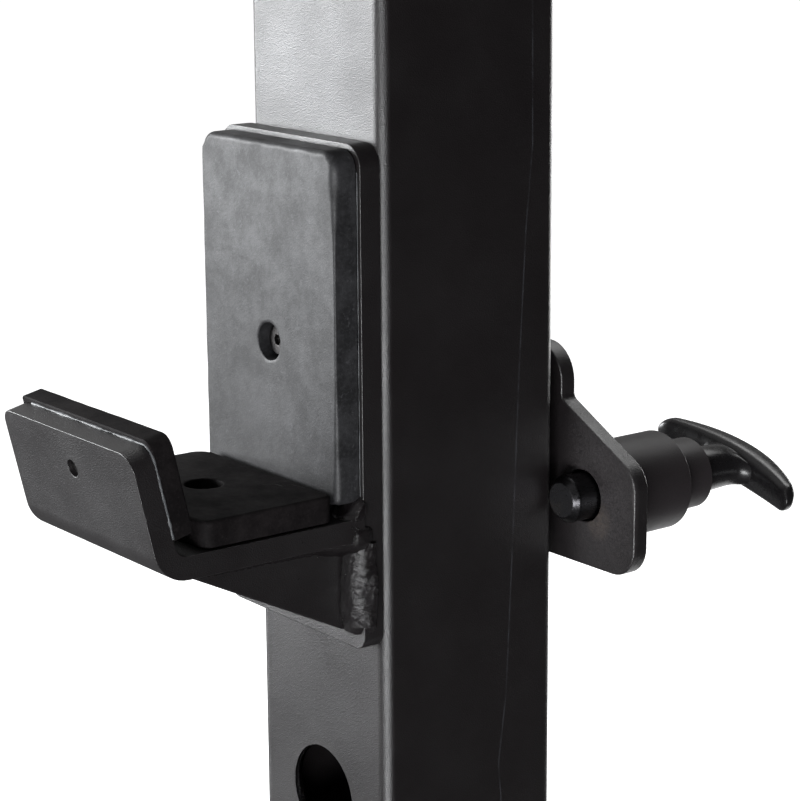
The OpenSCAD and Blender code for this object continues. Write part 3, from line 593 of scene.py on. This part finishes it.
def bead(bm, points, radius, seed, pitch=2.6, closed=False, rough=0.12):
    """A weld bead in millimetres: overlapping scales along the path, tapered at free ends."""
    path = along(points, BEAD_STEP)
    rings = []
    length = BEAD_STEP * len(path)
    for i, (p, (t, u, v)) in enumerate(zip(path, frames(path))):
        s = BEAD_STEP * i
        scale = (s / pitch + 0.3 * noise.noise(Vector((s * 0.3, seed, 0)))) % 1.0
        r = radius * (0.93 + 0.16 * scale + 0.10 * noise.noise(Vector((s * 0.12, seed, 3))))
        if not closed:
            r *= min(1.0, 0.35 + 0.65 * math.sqrt(max(0.0, min(s, length - s)) / (radius * 1.2)))
        pts = []
        for k, a in enumerate(turn_steps(BEAD_SIDES)):
            d = u * math.cos(a) + v * math.sin(a)
            bumpy = 1 + rough * noise.noise(Vector((p.x * 0.5, p.y * 0.5, p.z * 0.5 + k * 0.9 + seed)))
            pts.append(p + d * (r * bumpy) - t * (0.5 * radius * math.cos(2 * a) * 0.3))
        rings.append(ring(bm, pts))
    if not closed:
        loft(bm, rings)
        return
    for a, b in zip(rings, rings[1:] + rings[:1]):
        skin(bm, a, b)


def circle_path(centre, axis, radius):
    axis = Vector(axis).normalized()
    u = axis.orthogonal().normalized()
    v = axis.cross(u)
    steps = turn_steps(max(24, int(radius * 4)))
    return [Vector(centre) + (u * math.cos(a) + v * math.sin(a)) * radius for a in steps]


def place_all(bm, matrix=Matrix.Scale(MM, 4)):
    """Moves the mesh by the matrix, or from millimetres to metres."""
    bmesh.ops.transform(bm, matrix=matrix, verts=bm.verts)


# Cup pads

PAD_INSET = 1.6
PAD_T = 9.5
LIP_PAD_T = 8.0
LIP_PAD_OVER = 1.6
RECESS_R = 6.5
RECESS_DEPTH = 6.3
SCREW_Z = 28.5
LIP_SCREW = 34
FLOOR_PAD_GAP = 11.3
FLOOR_PAD_LEN = 52
PAD_X = (WRAP_X + PAD_INSET, HALF - PAD_INSET)
BACK_PAD_RIGHT = HALF - 2.6
BACK_PAD_Z = (-22, 97.4)
MID_X = (WRAP_X + HALF) / 2
UP = Vector((0, 0, 1))
BACK = Vector((0, 1, 0))
ACROSS = Vector((1, 0, 0))


def axes_matrix(origin, u, v, w):
    m = Matrix.Identity(4)
    for col, vec in enumerate((u, v, w, origin)):
        for row in range(3):
            m[row][col] = vec[row]
    return m


LIP_UP = Vector((0, -math.sin(LIP_LEAN), math.cos(LIP_LEAN)))
LIP_OUT = Vector((0, math.cos(LIP_LEAN), math.sin(LIP_LEAN)))
LIP_ORIGIN = Vector((0, BEND_Y + CUP_T / math.cos(LIP_LEAN), LIP_BASE_Z))
LIP_LEN = (LIP_RISE + CUP_T * math.sin(LIP_LEAN) - LIP_BASE_Z) / math.cos(LIP_LEAN)
LIP_TOP = LIP_LEN + LIP_PAD_OVER


def back_pad(side):
    """The tall pad, whose right edge is worn round near its top and its foot."""

    def roll(x, z):
        if x < BACK_PAD_RIGHT - 4:
            return 1.9 if z > 92 else 1.0
        return 0.75 + 2.3 * min(max((z - 62) / 30, 0), 1) + 1.6 * min(max((20 - z) / 36, 0), 1)

    place = at_cup(side) @ axes_matrix(Vector((0, FRONT_Y, 0)), ACROSS, UP, -BACK)
    low, high = BACK_PAD_Z
    corners = [(PAD_X[0], low, 2.5), (BACK_PAD_RIGHT, low, 2.5), (BACK_PAD_RIGHT, high, 7),
               (PAD_X[0], high, 7)]
    bm = slab(corners, PAD_T, roll, (MID_X, SCREW_Z), RECESS_R, RECESS_DEPTH, place,
              seed=1.0 if side == "left" else 4.0)
    pad = add_piece(side + "_back_pad_rubber", bm, side + "_cup", pad_grey,
                    replaced=(side + "_cup_back_pad",))


def floor_pad(side):
    """The pad on the saddle's floor."""
    y1 = FRONT_Y - FLOOR_PAD_GAP
    y0 = y1 - FLOOR_PAD_LEN
    place = at_cup(side) @ axes_matrix(Vector((0, 0, FLOOR_TOP_Z)), ACROSS, BACK, UP)
    corners = [(PAD_X[0], y0, 4.2), (PAD_X[1], y0, 4.2), (PAD_X[1], y1, 4.2), (PAD_X[0], y1, 7)]
    bm = slab(corners, PAD_T, lambda x, y: 1.1, (MID_X, (y0 + y1) / 2), RECESS_R, RECESS_DEPTH, place,
              seed=2.0)
    pad = add_piece(side + "_floor_pad_rubber", bm, side + "_cup", pad_black,
                    replaced=(side + "_cup_floor_pad",))


def lip_pad(side):
    """The pad inside the lip, nearly as wide as the lip."""
    place = at_cup(side) @ axes_matrix(LIP_ORIGIN, ACROSS, LIP_UP, LIP_OUT)
    left, low = WRAP_X + 0.3, 14
    corners = [(left, low, 0.8), (HALF, low, 0.8), (HALF, LIP_TOP, 5), (left, LIP_TOP, 1.2)]
    bm = slab(corners, LIP_PAD_T, lambda x, v: 1.0, (MID_X, LIP_SCREW), RECESS_R, RECESS_DEPTH, place,
              seed=3.0, back_roll=0.4)
    pad = add_piece(side + "_lip_pad_rubber", bm, side + "_cup", pad_black,
                    replaced=(side + "_cup_lip_pad",))


SEAM_STEP = 0.5
LIP_CORNER_R = 5.2


def seam(bm, points, radius, seed):
    """Squeezed-out glue: an uneven ribbon that swells and nearly vanishes along its run."""
    path = along(points, SEAM_STEP)
    rings = []
    for i, (p, (_, u, v)) in enumerate(zip(path, frames(path))):
        s = SEAM_STEP * i
        swell = 0.75 + 0.9 * noise.noise(Vector((s * 0.10, seed, 0)))
        swell += 0.45 * noise.noise(Vector((s * 0.45, seed, 2)))
        r = radius * min(max(swell, 0.12), 1.5)
        side_shift = u * (0.25 * radius * noise.noise(Vector((s * 0.3, seed, 5))))
        rings.append(round_ring(bm, p + side_shift, u, v, r))
    loft(bm, rings)


def glue_lines(side):
    """Glue along the pads' seams: over the lip, down its pin side and beside the back pad."""
    bm = bmesh.new()
    lip = axes_matrix(LIP_ORIGIN, ACROSS, LIP_UP, LIP_OUT)
    r = LIP_CORNER_R
    run = [lip @ Vector((HALF - 0.15, v, 0.1)) for v in (15, 22, 30, LIP_LEN - r)]
    corner = []
    for a in (0.3, 0.65, 1.0, 1.3):
        across = HALF - r + (r - 0.15) * math.cos(a)
        corner.append(lip @ Vector((across, LIP_LEN - r + r * math.sin(a) + 0.1, 0.1)))
    over = [lip @ Vector((x, LIP_LEN + 0.15, -0.1)) for x in (HALF - r - 1, 12, -14, PAD_X[0] + 6)]
    seam(bm, run + corner + over, radius=0.62, seed=7.0)
    for x, seed in ((BACK_PAD_RIGHT + 0.05, 2.0), (PAD_X[0] - 0.05, 4.0)):
        seam(bm, [Vector((x, FRONT_Y - 0.1, z)) for z in (-20, 8, 40, 70, 90)], radius=0.2, seed=seed)
    place_all(bm, at_cup(side))
    add_piece(side + "_pad_glue", bm, side + "_cup", glue, sharp=60)


# Welds


def spatter(bm, centre, radius):
    """One bead of spatter."""
    made = bmesh.ops.create_icosphere(bm, subdivisions=2, radius=radius)["verts"]
    bmesh.ops.translate(bm, vec=centre, verts=made)


def eased(points):
    """The closed outline with its corners cut, twice over."""
    for _ in range(2):
        cut = []
        for a, b in zip(points, points[1:] + points[:1]):
            cut += [a.lerp(b, 0.25), a.lerp(b, 0.75)]
        points = cut
    return points


FILLET_STEP = 0.5


def fillet(bm, section, root, stations, place, seed, rough):
    """Weld metal that fills a corner: a section swept along t and scaled about its root at each station."""
    loop = eased([Vector(p) for p in section])
    root = Vector(root)
    rings = []
    for (t0, s0), (t1, s1) in zip(stations, stations[1:]):
        count = max(1, round(abs(t1 - t0) / FILLET_STEP))
        for k in range(count + (t1 == stations[-1][0])):
            t = t0 + (t1 - t0) * k / count
            scale = s0 + (s1 - s0) * k / count
            scale *= 1 + 0.05 * noise.noise(Vector((t * 0.16, seed, 1)))
            pts = []
            for p in loop:
                wave = noise.noise(Vector((p.x * 0.25, p.y * 0.25, t * 0.22 + seed)))
                wave += 0.5 * noise.noise(Vector((p.x * 0.8, p.y * 0.8, t * 0.7 + seed)))
                q = root + (p - root) * (scale * (1 + rough * wave))
                pts.append(place(t, q))
            rings.append(ring(bm, pts))
    loft(bm, rings)


BARREL_WELD_R = 18.2
# place and radius of each bead of spatter
SPATTER = (
    (38.1, -51.6, -29.1, 0.4), (38.1, -50.4, -30.4, 0.3), (38.1, -49.1, -30.0, 0.45),
    (38.1, -49.9, -29.4, 0.25), (31.4, -49.8, -47.5, 0.3), (30.4, -49.6, -52.0, 0.35),
    (30.8, -49.7, -54.5, 0.25), (29.6, -49.4, -58.5, 0.3), (29.0, -49.4, -61.0, 0.4),
    (28.4, -49.0, -64.5, 0.35), (28.0, -49.0, -66.0, 0.25), (30.2, -49.6, -49.2, 0.2),
    (27.0, -58.0, -41.0, 0.3), (26.9, -74.0, -38.0, 0.25), (27.0, -66.0, -47.0, 0.2),
    (38.1, -72.0, -30.5, 0.25),
)


def cup_welds(side):
    """Saddle, gusset and wrap plate welded to the front plate, and the barrel to its boss."""
    bm = bmesh.new()
    for x, y, z, r in SPATTER:
        spatter(bm, (x, y, z), r)
    v = Vector
    under = LIP_BASE_Z
    front = FRONT_Y

    # gusset to the underside of the floor, both faces
    bead(bm, [v((27.6, -110, under - 1.0)), v((27.8, -80, under - 1.4)), v((28.4, -60, under - 1.8))], 2.8,
         seed=1, rough=0.05)
    section = [(26.6, -43.0), (29.0, -41.2), (32.5, -40.2), (36.0, -39.0), (38.3, -37.0), (38.9, -33.8),
               (38.3, -30.4), (36.0, -29.4), (30.0, -31.0)]
    stations = [(-104, 0.12), (-94, 0.42), (-86, 0.36), (-77, 0.55), (-68, 0.52), (-61, 0.62),
                (-55, 0.84), (-49, 1.0), (-45, 1.0), (-42.6, 0.86), (-41, 0.45)]
    fillet(bm, section, (31.0, -34.0), stations, lambda t, p: v((p.x, t, p.y)), 2.0, rough=0.05)
    bead(bm, [v((18.6, -104, under - 0.8)), v((18.4, front - 2, under - 1.2))], 2.4, seed=2)

    def drawn_in(t, p):
        """Near its lower end the weld's forward side leans in."""
        shift = max(0, (-59 - t) / 4) * max(0, (front + 2 - p.y) / 5)
        return v((p.x - shift, p.y, t))

    # gusset to the front plate, both faces
    section = [(26.6, front - 2.8), (30.0, front - 3.5), (32.8, front - 3.8), (35.0, front - 3.6),
               (36.7, front - 2.5), (38.0, front - 0.8), (38.8, front + 1.8), (39.0, front + 5.0),
               (37.2, front + 5.4), (26.6, front + 5.4)]
    stations = [(-36, 0.92), (-42, 0.9), (-49, 0.97), (-56, 1.04), (-62, 0.98), (-66, 0.88),
                (-68.6, 0.7), (-69.8, 0.3)]
    fillet(bm, section, (32.0, front + 1.5), stations, drawn_in, 3.0, rough=0.09)
    bead(bm, [v((18.2, front - 0.6, -38)), v((18.2, front - 0.6, -66))], 2.2, seed=4)

    # floor to the front plate, above and below
    bead(bm, [v((x, front - 0.4, -26.4)) for x in (WRAP_X + 3, 0, HALF - 4)], 2.7, seed=5, rough=0.1)
    section = [(front - 8.6, -27.6), (front - 6.2, -25.7), (front - 3.6, -23.4), (front - 1.6, -20.4),
               (front + 0.8, -18.8), (front + 0.8, -27.6)]
    stations = [(22, 0.45), (27, 0.8), (31, 1.0), (36, 0.98), (38.2, 0.7)]
    fillet(bm, section, (front, FLOOR_TOP_Z), stations, lambda t, p: v((t, p.x, p.y)), 8.0, rough=0.12)
    bead(bm, [v((WRAP_X + 2, front - 0.6, under - 0.4)), v((17, front - 0.6, under - 0.4))], 2.8, seed=6)

    # wrap plate to the front plate, and boss to the barrel
    bead(bm, [v((WRAP_X + 0.4, -HALF + 0.2, z)) for z in (-56, -20, 17)], 1.5, seed=9)
    boss = (PIN_X, WRAP_BACK_Y + 0.6, PIN_Z)
    bead(bm, circle_path(boss, (0, 1, 0), BARREL_WELD_R), 1.7, seed=10, closed=True)
    place_all(bm, at_cup(side))
    add_piece(side + "_cup_welds", bm, side + "_cup", weld_coat, sharp=60)


dims = {n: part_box(n) for n in frame["nodes"]}
ARM_WELD_R = 2.5
ARM_WELD_CUT = 3
SLEEVE_WELD_X = 20.8


def frame_welds(side):
    """Arms to the upright, and hinge sleeves to the arms."""
    bm = bmesh.new()
    v = Vector
    centre_x = UPRIGHT[side].x / MM
    for arm in ("upper_arm", "lower_arm"):
        lo, hi = (p / MM for p in dims[f"{side}_{arm}"])
        y = UPRIGHT[side].y / MM + HALF + 0.8
        x0, x1, z0, z1 = lo.x - 0.6, hi.x + 0.6, lo.z - 0.6, hi.z + 0.6
        c = ARM_WELD_CUT
        loop = [v((x0 + c, y, z0)), v((x1 - c, y, z0)), v((x1, y, z0 + c)), v((x1, y, z1 - c)),
                v((x1 - c, y, z1)), v((x0 + c, y, z1)), v((x0, y, z1 - c)), v((x0, y, z0 + c))]
        bead(bm, loop, ARM_WELD_R, pitch=3.0, seed=len(arm), closed=True)
        for x in (centre_x - SLEEVE_WELD_X, centre_x + SLEEVE_WELD_X):
            bead(bm, [v((x, hi.y - 2.4, z0 + 4.5)), v((x, hi.y - 2.4, z1 - 4.5))], 2.6, seed=x)
    place_all(bm)
    add_piece(side + "_frame_welds", bm, side + "_frame", weld_coat, sharp=60)


# bracket ears from the bracket's middle, and the welds that run along and beside them
EAR_Z = 39.6
EAR_T = 8
EAR_WELD_X = 27
EAR_SIDE_X = 28.4
BRACKET_WELD_Y = -18.8
GUIDE_WELD_R = 15.3


def wall_welds():
    """Bracket ears to their back plates, and the lock guides to the upper ears."""
    bm = bmesh.new()
    v = Vector
    for side in SIDES:
        cx = UPRIGHT[side].x / MM
        for level in ("upper", "lower"):
            cz = (middle(f"{side}_{level}_bracket") / MM).z
            for sign in (-1, 1):
                z = cz + sign * (EAR_Z + EAR_T + 0.7)
                run = [v((cx - EAR_WELD_X, BRACKET_WELD_Y, z)), v((cx + EAR_WELD_X, BRACKET_WELD_Y, z))]
                bead(bm, run, 2.8, seed=sign + cx)
                for sx in (-1, 1):
                    x = cx + sx * EAR_SIDE_X
                    ends = (cz + sign * 41, cz + sign * 47)
                    bead(bm, [v((x, BRACKET_WELD_Y, end)) for end in ends], 2.2, seed=sx)
        lo, hi = (p / MM for p in dims[side + "_lock_guide"])
        mid = (lo + hi) / 2
        guide_foot = (mid.x, mid.y, lo.z + 0.7)
        bead(bm, circle_path(guide_foot, (0, 0, 1), GUIDE_WELD_R), 2.0, seed=3, closed=True)
    place_all(bm)
    add_piece("bracket_welds", bm, "wall_frame", weld_coat, sharp=60)


# the bar's end weld, and the inner corner of each end bracket from the bar's end and the foot
BAR_WELD_R = 16.2
BAR_PLATE_IN = 8.6
BAR_FOOT_HALF = 32


def bar_welds():
    """The bar to its end brackets, and each bracket's foot to its upright plate."""
    bm = bmesh.new()
    v = Vector
    lo, hi = (p / MM for p in dims["pullup_bar"])
    foot = (dims["bar_brackets"][0] / MM).z + BAR_PLATE_IN
    mid = (lo + hi) / 2
    for x, sign in ((lo.x, 1), (hi.x, -1)):
        end = (x + sign * 0.6, mid.y, mid.z)
        bead(bm, circle_path(end, (1, 0, 0), BAR_WELD_R), 2.2, seed=x, closed=True)
        corner = x - sign * BAR_PLATE_IN
        run = [v((corner, mid.y - BAR_FOOT_HALF, foot)), v((corner, mid.y + BAR_FOOT_HALF, foot))]
        bead(bm, run, 2.6, seed=x + 1)
    place_all(bm)
    add_piece("bar_welds", bm, "crossbar", weld_coat, sharp=60)


# Spring pin

COIL_R = 10.7
WIRE_R = 1.1
COIL_TURNS = 6
STEPS_PER_TURN = 28
# share of the turns, and of the length, in each closed end of the coil
COIL_END = 0.14
END_RISE = 0.12
# the grip: half length, its bow on the stem side and outside, its tips, and the rounded share
GRIP_HALF = 35.0
GRIP_BOW = 4.6
GRIP_OUT_BOW = 10.5
GRIP_TIP_T = 6.0
GRIP_TIP_H = 9.6
GRIP_SWELL = 4.6
GRIP_ROUNDED = 0.14
# places along the stem with its half widths across and up, flaring into the grip
STEM_PROFILE = (
    (0.0, 7.7, 7.7), (0.4, 8.3, 8.3), (1.2, 8.5, 8.5), (9.0, 8.5, 8.4), (13.0, 8.6, 8.1), (15.6, 9.0, 7.7),
    (17.2, 9.9, 7.3), (18.4, 11.2, 7.0), (19.3, 12.8, 6.7), (20.0, 14.6, 6.0), (20.8, 14.0, 3.5),
)


def coil_spring(side):
    """The coil in the barrel, between the pin's flange and the cap."""
    lo, hi = (p / MM for p in dims[side + "_pin_spring"])
    y0, y1 = lo.y + WIRE_R, hi.y - WIRE_R
    x, z = (lo.x + hi.x) / 2, (lo.z + hi.z) / 2
    count = COIL_TURNS * STEPS_PER_TURN
    path = []
    for k in range(count + 1):
        t = k / count
        ease = min(max((t - COIL_END) / (1 - 2 * COIL_END), 0), 1)
        low = END_RISE * min(t / COIL_END, 1)
        high = END_RISE * max((t - (1 - COIL_END)) / COIL_END, 0)
        y = y0 + (y1 - y0) * (low + (1 - 2 * END_RISE) * ease + high)
        a = 2 * math.pi * COIL_TURNS * t
        path.append(Vector((x + COIL_R * math.cos(a), y, z + COIL_R * math.sin(a))))
    bm = bmesh.new()
    loft(bm, [round_ring(bm, p, u, w, WIRE_R) for p, (_, u, w) in zip(path, frames(path))])
    place_all(bm)
    coil = add_piece(side + "_coil_spring", bm, side + "_cup", spring_steel, sharp=60,
                     replaced=(side + "_pin_spring",))
    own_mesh(coil)


def crescent(side):
    """Moulded handle: a round stem that flares into a crescent grip with slim tips."""
    bm = bmesh.new()
    stations, sides = 64, 32
    rings = []
    for i in range(stations + 1):
        s = -math.cos(math.pi * i / stations)
        x = GRIP_HALF * s
        q = abs(s)
        past = max(0.0, (q - (1 - GRIP_ROUNDED)) / GRIP_ROUNDED)
        end = max(math.sqrt(max(0.0, 1 - past ** 2)), 0.05)
        bow = 1 - q ** 2
        y_in = GRIP_Y + GRIP_BOW * bow
        y_out = GRIP_Y + GRIP_TIP_T + GRIP_OUT_BOW * bow
        height = (GRIP_TIP_H + GRIP_SWELL * bow) * end
        thick = (y_out - y_in) * (0.3 + 0.7 * end)
        cy = (y_in + y_out) / 2 - 0.8 * (1 - end)
        pts = []
        for a in turn_steps(sides):
            c, sn = math.cos(a), math.sin(a)
            px = math.copysign(abs(c) ** 0.7, c) * thick / 2
            pz = math.copysign(abs(sn) ** 0.7, sn) * height / 2
            pts.append(Vector((x, cy + px, pz)))
        rings.append(ring(bm, pts))
    loft(bm, rings)
    turn = Matrix.Translation((PIN_X, 0, PIN_Z)) @ Matrix.Rotation(GRIP_TURN, 4, "Y")
    place_all(bm, at_cup(side) @ turn)
    add_piece(side + "_crescent_grip", bm, side + "_plunger", gloss, sharp=60,
              replaced=(side + "_pin_handle",))
    bm = bmesh.new()
    rows = []
    for y, rx, rz in STEM_PROFILE:
        rows.append(ring(bm, [Vector((rx * math.cos(a), STEM_Y + y, rz * math.sin(a)))
                              for a in turn_steps(48)]))
    loft(bm, rows)
    place_all(bm, at_cup(side) @ turn)
    add_piece(side + "_grip_stem", bm, side + "_plunger", gloss, sharp=40)


# Feet

PLUG_HALF = 34.8
TREAD_BARS = 5
TREAD_W = 7.0
TREAD_H = 1.7
RIM = 7


def tread_foot(side):
    """Moulded foot: a plug in the tube, a chamfered collar and a grooved tread."""
    lo, hi = (p / MM for p in dims[side + "_foot"])
    mid = (lo + hi) / 2
    w = (hi.x - lo.x) / 2
    bm = bmesh.new()
    rows = []
    # height, half width and corner radius, from the hollow in the underside up to the plug's end
    outline = (
        (lo.z + 1.6, w - 4.5, 5),
        (lo.z, w - 4.5, 5),
        (lo.z, w - 1.6, 6),
        (lo.z + 1.2, w - 0.4, 6.5),
        (lo.z + 4.0, w, 6.5),
        (lo.z + 9.5, w, 6.5),
        (lo.z + 11.4, w - 0.8, 6),
        (lo.z + 12.0, w - 2.4, 5),
        (lo.z + 12.0, PLUG_HALF, 1.2),
        (hi.z - 1.0, PLUG_HALF, 1.2),
        (hi.z, PLUG_HALF - 1.0, 1.0),
    )
    for z, r, corner in outline:
        out = round_corners([(-r, -r, corner), (r, -r, corner), (r, r, corner), (-r, r, corner)], 6)
        rows.append(ring(bm, [Vector((mid.x + p.x, mid.y + p.y, z)) for p in out]))
    loft(bm, rows)
    # tread bars inside the rim
    span = w - RIM
    for k in range(TREAD_BARS):
        y = mid.y + (k - 2) * span * 0.4
        bar = bmesh.ops.create_cube(bm, size=1.0)["verts"]
        bmesh.ops.scale(bm, vec=(span * 2, TREAD_W, TREAD_H), verts=bar)
        bmesh.ops.translate(bm, vec=(mid.x, y, lo.z + TREAD_H / 2), verts=bar)
    place_all(bm)
    add_piece(side + "_tread_foot", bm, side + "_frame", foot_rubber,
              replaced=(side + "_foot",))


for side in SIDES:
    back_pad(side)
    floor_pad(side)
    lip_pad(side)
    glue_lines(side)
    cup_welds(side)
    frame_welds(side)
    coil_spring(side)
    crescent(side)
    tread_foot(side)
wall_welds()
bar_welds()

# Camera, floor and light

# the photo's camera: focal length in pixels, turns in degrees, place in millimetres about the cup
F_PX = 2427.723
PHOTO_SIDE_PX = 801
SENSOR = 36
CAMERA_TURN = 52.789
CAMERA_PITCH = 13.452
CAMERA_ROLL = -0.381
CAMERA_EYE = (671.114, -511.701, 201.877)
camera = bpy.data.objects.new("camera", bpy.data.cameras.new("camera"))
scene.collection.objects.link(camera)
az, pitch, roll = math.radians(CAMERA_TURN), math.radians(CAMERA_PITCH), math.radians(CAMERA_ROLL)
back = Vector((math.sin(az) * math.cos(pitch), -math.cos(az) * math.cos(pitch), math.sin(pitch)))
right = Vector((math.cos(az), math.sin(az), 0))
up = back.cross(right)
right_rolled = right * math.cos(roll) + up * math.sin(roll)
up_rolled = up * math.cos(roll) - right * math.sin(roll)
eye = Vector(CAMERA_EYE) * MM + Vector((LEFT.x, LEFT.y, CUP_Z))
camera.matrix_world = axes_matrix(eye, right_rolled, up_rolled, back)
camera.data.sensor_fit = "AUTO"
camera.data.sensor_width = SENSOR
camera.data.sensor_height = SENSOR
camera.data.lens = F_PX * SENSOR / PHOTO_SIDE_PX
camera.data.clip_start = 0.05
camera.data.clip_end = 100
scene.camera = camera

# floor and studio in metres: white lies round BACKDROP_WAY, the soft light comes from STUDIO_WAY
FLOOR_HALF = 30
FLOOR_GAP = 0.0005
FLOOR_GREY = 0.09
FLOOR_WHITE = 0.80
BACKDROP_WAY = Vector((-0.72, 0.55, -0.42)).normalized()
BACKDROP_EDGE = (0.86, 0.96)
GLOW_CENTRE = (0, -0.35)
GLOW_REACH = (0.9, 2.4)
GLOW = (0.3, 0.8)
STUDIO_WAY = Vector((-0.78, -0.60, 0.20)).normalized()
STUDIO_REACH = (-0.25, 1.0)
STUDIO_LIGHT = (0.022, 1.0)
floor_z = dims["left_foot"][0].z
bm = bmesh.new()
bmesh.ops.create_grid(bm, x_segments=1, y_segments=1, size=FLOOR_HALF)
bmesh.ops.translate(bm, vec=(0, 0, floor_z - FLOOR_GAP), verts=bm.verts)
floor_mesh = bpy.data.meshes.new("floor")
bm.to_mesh(floor_mesh)
bm.free()
floor = bpy.data.objects.new("floor", floor_mesh)
scene.collection.objects.link(floor)


def between(tree, value, source, target=(0.0, 1.0)):
    """The value taken from the source range to the target range."""
    n = tree.nodes.new("ShaderNodeMapRange")
    tree.links.new(value, n.inputs["Value"])
    for name, v in zip(("From Min", "From Max", "To Min", "To Max"), (*source, *target)):
        n.inputs[name].default_value = v
    return n.outputs["Result"]


def join(tree, operation, a, b):
    """A maths node on two values."""
    n = tree.nodes.new("ShaderNodeMath")
    n.operation = operation
    tree.links.new(a, n.inputs[0])
    tree.links.new(b, n.inputs[1])
    return n.outputs[0]


def vector_value(tree, operation, a, b):
    """One number from the vector a and the fixed vector b."""
    n = tree.nodes.new("ShaderNodeVectorMath")
    n.operation = operation
    tree.links.new(a, n.inputs[0])
    n.inputs[1].default_value = b
    return n.outputs["Value"]


def sees_white(tree, place):
    """One where white shows: to the camera everywhere, to glossy and clear rays toward the backdrop."""
    rays = tree.nodes.new("ShaderNodeLightPath").outputs
    unit = tree.nodes.new("ShaderNodeVectorMath")
    unit.operation = "NORMALIZE"
    tree.links.new(place, unit.inputs[0])
    behind = vector_value(tree, "DOT_PRODUCT", unit.outputs["Vector"], BACKDROP_WAY)
    shiny = join(tree, "MAXIMUM", rays["Is Glossy Ray"], rays["Is Transmission Ray"])
    mirrored = join(tree, "MULTIPLY", shiny, between(tree, behind, BACKDROP_EDGE))
    return join(tree, "MAXIMUM", rays["Is Camera Ray"], mirrored)


floor_mat = bpy.data.materials.new("pale_floor")
floor_mat.use_nodes = True
tree = floor_mat.node_tree
nodes, links = tree.nodes, tree.links
ground = nodes["Principled BSDF"]
ground.inputs["Roughness"].default_value = 0.9
ground.inputs["Specular IOR Level"].default_value = 0.1
lit = nodes.new("ShaderNodeEmission")
lit.inputs["Color"].default_value = (1, 1, 1, 1)
floor_place = nodes.new("ShaderNodeTexCoord").outputs["Object"]
white_here = sees_white(tree, floor_place)
shade = nodes.new("ShaderNodeMix")
shade.data_type = "RGBA"
links.new(white_here, shade.inputs[0])
shade.inputs[6].default_value = (FLOOR_GREY, FLOOR_GREY, FLOOR_GREY, 1)
shade.inputs[7].default_value = (FLOOR_WHITE, FLOOR_WHITE, FLOOR_WHITE, 1)
links.new(shade.outputs[2], ground.inputs["Base Color"])
# the glow fades under the rack, so that its shadow shows there
away = vector_value(tree, "DISTANCE", floor_place, (*GLOW_CENTRE, floor_z))
links.new(join(tree, "MULTIPLY", white_here, between(tree, away, GLOW_REACH, GLOW)), lit.inputs["Strength"])
total = nodes.new("ShaderNodeAddShader")
links.new(ground.outputs[0], total.inputs[0])
links.new(lit.outputs[0], total.inputs[1])
links.new(total.outputs[0], nodes["Material Output"].inputs["Surface"])
floor_mesh.materials.append(floor_mat)


def lamp(name, place, target, size, watts, colour=(1, 1, 1)):
    """A rectangular area lamp at place, turned to target."""
    data = bpy.data.lights.new(name, "AREA")
    data.shape = "RECTANGLE"
    data.size, data.size_y = size
    data.energy = watts
    data.color = colour
    obj = bpy.data.objects.new(name, data)
    scene.collection.objects.link(obj)
    obj.location = place
    obj.rotation_mode = "QUATERNION"
    obj.rotation_quaternion = (Vector(target) - Vector(place)).to_track_quat("-Z", "Y")
    obj.visible_camera = False


lamp("key_left", (-4.2, -3.4, 1.36), (-0.4, -0.5, 0.9), (2.2, 1.9), 372, (0.965, 0.983, 1.0))
lamp("front_right", (1.03, -2.40, 0.32), (-0.58, -0.62, 0.85), (1.6, 0.6), 74, (0.97, 0.985, 1.0))
lamp("top_back", (-1.2, 1.4, 4.0), (-0.3, -0.5, 0.8), (2.4, 1.6), 60)
lamp("wall_side", (-1.95, 4.5, 1.0), (-0.4, -0.1, 0.9), (2.4, 2.0), 150)

world = bpy.data.worlds.new("studio")
scene.world = world
world.use_nodes = True
tree = world.node_tree
nodes, links = tree.nodes, tree.links
nodes.clear()
out = nodes.new("ShaderNodeOutputWorld")
direction = nodes.new("ShaderNodeTexCoord").outputs["Generated"]
toward = vector_value(tree, "DOT_PRODUCT", direction, STUDIO_WAY)
studio = nodes.new("ShaderNodeBackground")
links.new(between(tree, toward, STUDIO_REACH, STUDIO_LIGHT), studio.inputs["Strength"])
white = nodes.new("ShaderNodeBackground")
white.inputs["Color"].default_value = (1, 1, 1, 1)
white.inputs["Strength"].default_value = 1.0
mixer = nodes.new("ShaderNodeMixShader")
links.new(sees_white(tree, direction), mixer.inputs[0])
links.new(studio.outputs[0], mixer.inputs[1])
links.new(white.outputs[0], mixer.inputs[2])
links.new(mixer.outputs[0], out.inputs[0])

scene.view_settings.view_transform = "Standard"
